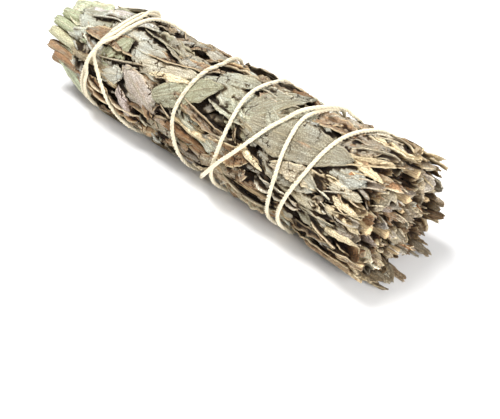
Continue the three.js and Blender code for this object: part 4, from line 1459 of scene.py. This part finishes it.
def leaf_colour(tree, leaf):
    """The leaf's colour in full light, and the masks of its rim and midrib."""
    def paint(body, share, colour):
        return blend(tree, share, body, srgb(*colour))

    aside, middling, brown, straw = (leaf[word] for word in ("aside", "middling", "brown", "straw"))
    greyed = times(tree, span(tree, leaf["large"], 0.35, 0.7), minus(tree, 1.0, leaf["green"], clamp=True))
    browned = plus(
        tree, brown, times(tree, minus(tree, middling, 0.5), 1.1),
        times(tree, minus(tree, leaf["streak"], 0.5), 1.4), times(tree, aside, 0.1),
    )
    specks = times(tree, span(tree, leaf["speck"], 0.6, 0.78), span(tree, middling, 0.5, 0.7), 0.5)
    rusty = plus(tree, specks, span(tree, brown, 0.95, 1.3, 0, 0.75), clamp=True)
    edge = span(tree, plus(tree, aside, times(tree, middling, 0.35)), 0.95, 1.12)
    dry = plus(tree, times(tree, plus(tree, straw, brown), 0.4), 0.2, clamp=True)
    rim, rib = times(tree, edge, dry), span(tree, aside, 0.09, 0.02)
    under = minus(tree, 1.0, leaf["side"], clamp=True)

    body = blend(tree, leaf["green"], srgb(*TAUPE), srgb(*GREEN))
    body = paint(body, greyed, GREY_GREEN)
    body = paint(body, leaf["mauve"], MAUVE)
    body = paint(body, straw, PALE_STRAW)
    body = paint(body, span(tree, browned, 0.35, 1.15), BROWN)
    body = paint(body, rusty, RUST)
    body = paint(body, rim, PALE_STRAW)
    body = paint(body, times(tree, rib, 0.45), RIB)
    return paint(body, times(tree, under, 0.5), UNDERSIDE), rim, rib


print("taupe and green in linear light:", [[round(v, 2) for v in srgb(*c)[:3]] for c in (TAUPE, GREEN)])

# %% [markdown]
# Along the middle of the roll the largest leaves have cracked as they dried. The cracks are thin dark
# lines between big cells, bent by noise, on parts that aren't green.

# %% Cracks
CRACKED_SIZE = 6.5  # millimetres across a piece between cracks


def leaf_cracks(tree, leaf):
    wander = put(tree, "ShaderNodeTexNoise", {"Vector": leaf["space"], "Scale": 500.0}).outputs["Color"]
    wander = on_vectors(tree, "SCALE", {0: wander, "Scale": 3 * MM})
    strayed = on_vectors(tree, "ADD", {0: leaf["space"], 1: wander})
    shards = cell_edges(tree, strayed, 1 / (CRACKED_SIZE * MM))
    return times(
        tree, span(tree, shards, 0.03, 0.008), span(tree, leaf["large"], 0.5, 0.56),
        span(tree, leaf["green"], 0.9, 0.6), span(tree, leaf["from_tip"], -0.05, -0.04),
        span(tree, leaf["from_tip"], 0.046, 0.036),
    )


print("cracks every", CRACKED_SIZE, "mm or so")

# %% [markdown]
# How light or dark a place is comes from the leaf's own tone, in its tint, its streaks and the cracks,
# and from painted shade: the creases between its pebbles are made darker, and so is every place that is
# less open to the light. Dark places are also warmer, so the green and the blue fall faster than the
# red; this warms the painted shade, and the darker tints as well.

# %% Light and dark on a leaf
WARM_GREEN, WARM_BLUE = 1.17, 1.4
# Painted light: towards the tip end every leaf is made up to 14% brighter.
TIP_PAINTED_LIGHT = (-0.02, -0.055, 1.0, 1.14)  # from and to where along X in metres, and the levels there


def leaf_tone_and_shade(tree, leaf, rim, skin, grain, cracks):
    # Painted shade: the creases between the pebbles are made darker, down to 0.68.
    level = times(
        tree, span(tree, skin, 0, 0.7, 0.68, 1.03),
        span(tree, leaf["light"], -0.2, 1.5, 0.5, 1.5, smooth_step=False),
        span(tree, grain, 0.3, 0.7, 0.95, 1.05), span(tree, leaf["streak"], 0.3, 0.7, 0.74, 1.14),
    )
    rim_level = times(tree, rim, minus(tree, 1.0, level, clamp=True), 0.7)
    # Painted shade: where leaf_open says little light reaches, the colour is darkened, down to 5%.
    lit = put(tree, "ShaderNodeAttribute", attribute_name="leaf_open").outputs["Fac"]
    level = times(
        tree, plus(tree, level, rim_level), span(tree, lit, 0, 1, 0.05, 1.0),
        span(tree, leaf["from_tip"], *TIP_PAINTED_LIGHT), span(tree, cracks, 0, 1, 1.0, 0.16),
    )
    # The warm turn tints the painted shade brown, and the darker tints of the leaf too.
    warm = {0: level, 1: sums(tree, "POWER", level, WARM_GREEN), 2: sums(tree, "POWER", level, WARM_BLUE)}
    return put(tree, "ShaderNodeCombineColor", warm).outputs[0]


print("half light turns to", [round(0.5**power, 2) for power in (1, WARM_GREEN, WARM_BLUE)])

# %% [markdown]
# The relief adds the pebbles, the side veins that slant off the midrib, the sunken midrib, grain and
# cracks. The felt of fine hairs makes the leaf very matt, with a faint sheen.

# %% Leaf relief and leaf finish
def leaf_relief(tree, leaf, rib, skin, grain, cracks):
    slant = plus(tree, times(tree, leaf["along"], 11.0), times(tree, leaf["aside"], 1.6))
    wave = sums(tree, "SINE", times(tree, slant, math.pi))
    veins = sums(tree, "POWER", sums(tree, "ABSOLUTE", wave), 0.35)
    relief = minus(tree, plus(tree, skin, times(tree, veins, 0.7)), times(tree, rib, 1.2))
    relief = plus(tree, relief, times(tree, grain, 0.45), times(tree, leaf["middling"], 1.2))
    return minus(tree, relief, times(tree, cracks, 2.0))


def dress_leaf(material):
    material.use_nodes = True
    tree = material.node_tree
    shader = tree.nodes["Principled BSDF"]
    leaf = read_leaf(tree)
    skin, grain = pebbles(tree, leaf["space"], 0.62)
    colour, rim, rib = leaf_colour(tree, leaf)
    cracks = leaf_cracks(tree, leaf)
    level = leaf_tone_and_shade(tree, leaf, rim, skin, grain, cracks)
    tree.links.new(blend(tree, 1.0, colour, level, "MULTIPLY"), shader.inputs["Base Color"])
    bumped(tree, shader, 1.0, 0.26, leaf_relief(tree, leaf, rib, skin, grain, cracks))
    tree.links.new(span(tree, grain, 0, 1, 0.76, 0.95), shader.inputs["Roughness"])
    shader.inputs["Specular IOR Level"].default_value = 0.1
    shader.inputs["Sheen Weight"].default_value = 0.07
    shader.inputs["Sheen Roughness"].default_value = 0.5


dress_leaf(leaf_finish)
print("leaf finish:", len(leaf_finish.node_tree.nodes), "nodes")

# %% [markdown]
# The crumbled core is only seen down the gaps. It is brown crumb, painted very dark as shade, rough,
# and nowhere quite black.

# %% Crumb finish
# Painted shade: both crumb browns are made very dark, to stand for the shade down the gaps.
SHADED_CRUMB_DARK, SHADED_CRUMB_PALE, CRUMB_GREEN = (26, 18, 12), (80, 62, 42), (96, 92, 60)


def dress_crumb_shade(material):
    material.use_nodes = True
    tree = material.node_tree
    shader = tree.nodes["Principled BSDF"]
    space = put(tree, "ShaderNodeTexCoord").outputs["Object"]
    flakes = noise(tree, space, 0.9, 4, 0.65)
    patches = noise(tree, space, 4, 2)
    body = blend(tree, span(tree, flakes, 0.35, 0.75), srgb(*SHADED_CRUMB_DARK), srgb(*SHADED_CRUMB_PALE))
    body = blend(tree, times(tree, span(tree, patches, 0.5, 0.75), 0.35), body, srgb(*CRUMB_GREEN))
    tree.links.new(body, shader.inputs["Base Color"])
    skin, _ = pebbles(tree, space, 0.8)
    bumped(tree, shader, 1.0, 0.3, plus(tree, times(tree, flakes, 2.0), skin))
    tree.links.new(span(tree, flakes, 0, 1, 0.8, 0.98), shader.inputs["Roughness"])
    shader.inputs["Specular IOR Level"].default_value = 0.03


dress_crumb_shade(crumb_shade_finish)
print("crumb finish:", len(crumb_shade_finish.node_tree.nodes), "nodes")

# %% [markdown]
# ## Bark, pith and cotton
# All three are made of fibres. One group stretches noise along the strand, on coordinates that run
# straight along each stem or ply however it bends, where noise in space would cut across the fibres.

# %% Fibres
def make_fibre_group():
    group, given, out = new_group("fibres", {"Fineness": 6, "Length": 0.3}, ["Fibres", "Patches"])
    place = put(group, "ShaderNodeAttribute", attribute_name="strand_place").outputs["Vector"]
    along, across, over = parts_of(group, place)
    stretched = put(group, "ShaderNodeCombineXYZ", {
        0: times(group, along, given["Length"]), 1: times(group, across, given["Fineness"]),
        2: times(group, over, given["Fineness"]),
    })
    fine = put(group, "ShaderNodeTexNoise", {"Vector": stretched.outputs[0], "Scale": 1.0, "Detail": 3.0})
    patches = put(group, "ShaderNodeTexNoise", {"Vector": place, "Scale": 0.35, "Detail": 2.0})
    group.links.new(fine.outputs["Fac"], out["Fibres"])
    group.links.new(patches.outputs["Fac"], out["Patches"])
    return group


fibred = make_fibre_group()
print("fibre group:", len(fibred.nodes), "nodes")

# %% [markdown]
# Bark is grey-brown with tan ridges, pith is pale and crumbly, and cotton is cream with a fuzz of
# loose fibres that catches the light as sheen.

# %% Bark, pith and cotton finishes
def dress_fibres(material, colours, fineness, length, relief_mm, rough):
    deep, pale, patch = (srgb(*colour) for colour in colours)
    material.use_nodes = True
    tree = material.node_tree
    shader = tree.nodes["Principled BSDF"]
    strand = put(tree, "ShaderNodeGroup", node_tree=fibred)
    strand.inputs["Fineness"].default_value = fineness
    strand.inputs["Length"].default_value = length
    fibres, patches = strand.outputs["Fibres"], strand.outputs["Patches"]
    body = blend(tree, span(tree, fibres, 0.3, 0.7), deep, pale)
    tree.links.new(blend(tree, span(tree, patches, 0.52, 0.8), body, patch), shader.inputs["Base Color"])
    bumped(tree, shader, 0.8, relief_mm, fibres)
    tree.links.new(span(tree, fibres, 0, 1, rough - 0.1, rough + 0.1), shader.inputs["Roughness"])
    shader.inputs["Specular IOR Level"].default_value = 0.25
    return shader


BARK_COLOURS = (128, 102, 76), (222, 198, 154), (160, 138, 110)
PITH_COLOURS = (196, 166, 120), (236, 218, 180), (176, 140, 96)
COTTON_COLOURS = (214, 200, 166), (247, 240, 219), (236, 223, 192)
dress_fibres(bark_finish, BARK_COLOURS, 7, 0.35, 0.2, 0.8)
dress_fibres(pith_finish, PITH_COLOURS, 9, 2.5, 0.12, 0.88)
cotton = dress_fibres(cotton_finish, COTTON_COLOURS, 16, 1.1, 0.1, 0.88)
cotton.inputs["Sheen Weight"].default_value = 0.3
cotton.inputs["Sheen Roughness"].default_value = 0.4
print("finishes:", [m.name for m in bpy.data.materials if m.users])

# %% [markdown]
# ## Light and floor
# The bunch lies on a plain white sweep under a big soft light from above and to the left, with a pale
# sky to fill the shadows and a smaller light for the cut ends. The standard view transform shows the
# colours as they were mixed, where a film-like one would grey them.

# %% Stage
CENTRE = Vector((0.5, 0.45, 15.9)) * MM
FLOOR_SIZE, PAPER = 2.0, (0.88, 0.88, 0.88, 1)
SKY = 0.34
LIGHTS = [
    # name, place and width in metres, power in watts
    ("key", (-0.2, -0.06, 0.7), 0.34, 7.1),
    ("fill", (-0.5, -0.5, 0.4), 0.6, 0.8),
    ("end_fill", (0.58, -0.16, 0.3), 0.25, 4.2),
]


def make_floor():
    bm = bmesh.new()
    bmesh.ops.create_grid(bm, x_segments=1, y_segments=1, size=FLOOR_SIZE)
    mesh = bpy.data.meshes.new("floor")
    bm.to_mesh(mesh)
    bm.free()
    floor = bpy.data.objects.new("floor", mesh)
    bpy.context.collection.objects.link(floor)
    paper = bpy.data.materials.new("white paper")
    paper.use_nodes = True
    shader = paper.node_tree.nodes["Principled BSDF"]
    shader.inputs["Base Color"].default_value = PAPER
    shader.inputs["Roughness"].default_value = 0.9
    shader.inputs["Specular IOR Level"].default_value = 0.1
    mesh.materials.append(paper)
    return floor


def area_light(name, place, size, power):
    """A round soft light that faces the middle of the bunch."""
    data = bpy.data.lights.new(name, "AREA")
    data.shape = "DISK"
    data.size = size
    data.energy = power
    lamp = bpy.data.objects.new(name, data)
    lamp.location = place
    lamp.rotation_euler = (CENTRE - Vector(place)).to_track_quat("-Z", "Y").to_euler()
    bpy.context.collection.objects.link(lamp)


make_floor()
for light in LIGHTS:
    area_light(*light)
world = bpy.context.scene.world or bpy.data.worlds.new("world")
bpy.context.scene.world = world
world.use_nodes = True
sky = world.node_tree.nodes["Background"]
sky.inputs["Color"].default_value = (1, 1, 1, 1)
sky.inputs["Strength"].default_value = SKY
bpy.context.scene.view_settings.view_transform = "Standard"

# %% [markdown]
# ## Camera
# The camera looks down along the bunch from its butt end, from far enough for the two ends to keep
# almost the same scale. It is aimed beside the bunch's middle rather than shifted, and the whole view is
# turned a little about the Y axis, so that the roll lies as it should in the frame.

# %% Camera
AZIMUTH, ELEVATION, DISTANCE = 46 * DEGREE, 34 * DEGREE, 480
LEVEL_TURN = -1.65 * DEGREE
AIM_RIGHT, AIM_DOWN = 5.14, 25.0
FOCAL_PIXELS, FRAME_WIDTH, SENSOR_WIDTH = 1680, 500, 36


def make_camera():
    flat = math.cos(ELEVATION)
    back = Vector((math.sin(AZIMUTH) * flat, -math.cos(AZIMUTH) * flat, math.sin(ELEVATION)))
    right = Vector((math.cos(AZIMUTH), math.sin(AZIMUTH), 0))
    up = back.cross(right)
    level = Matrix.Rotation(LEVEL_TURN, 3, "Y")
    back, right, up = level @ back, level @ right, level @ up
    data = bpy.data.cameras.new("camera")
    data.sensor_width = SENSOR_WIDTH
    data.lens = FOCAL_PIXELS / FRAME_WIDTH * SENSOR_WIDTH
    data.clip_start = 0.01
    camera = bpy.data.objects.new("camera", data)
    place = CENTRE + back * DISTANCE * MM
    aim = CENTRE + right * AIM_RIGHT * MM - up * AIM_DOWN * MM
    ahead = (aim - place).normalized()
    side = ahead.cross(up).normalized()
    turn = Matrix((side, side.cross(ahead), -ahead)).transposed()
    camera.matrix_world = Matrix.Translation(place) @ turn.to_4x4()
    bpy.context.collection.objects.link(camera)
    bpy.context.scene.camera = camera
    return camera


camera = make_camera()
print("camera at", [round(v, 3) for v in camera.location], "lens", round(camera.data.lens, 1))
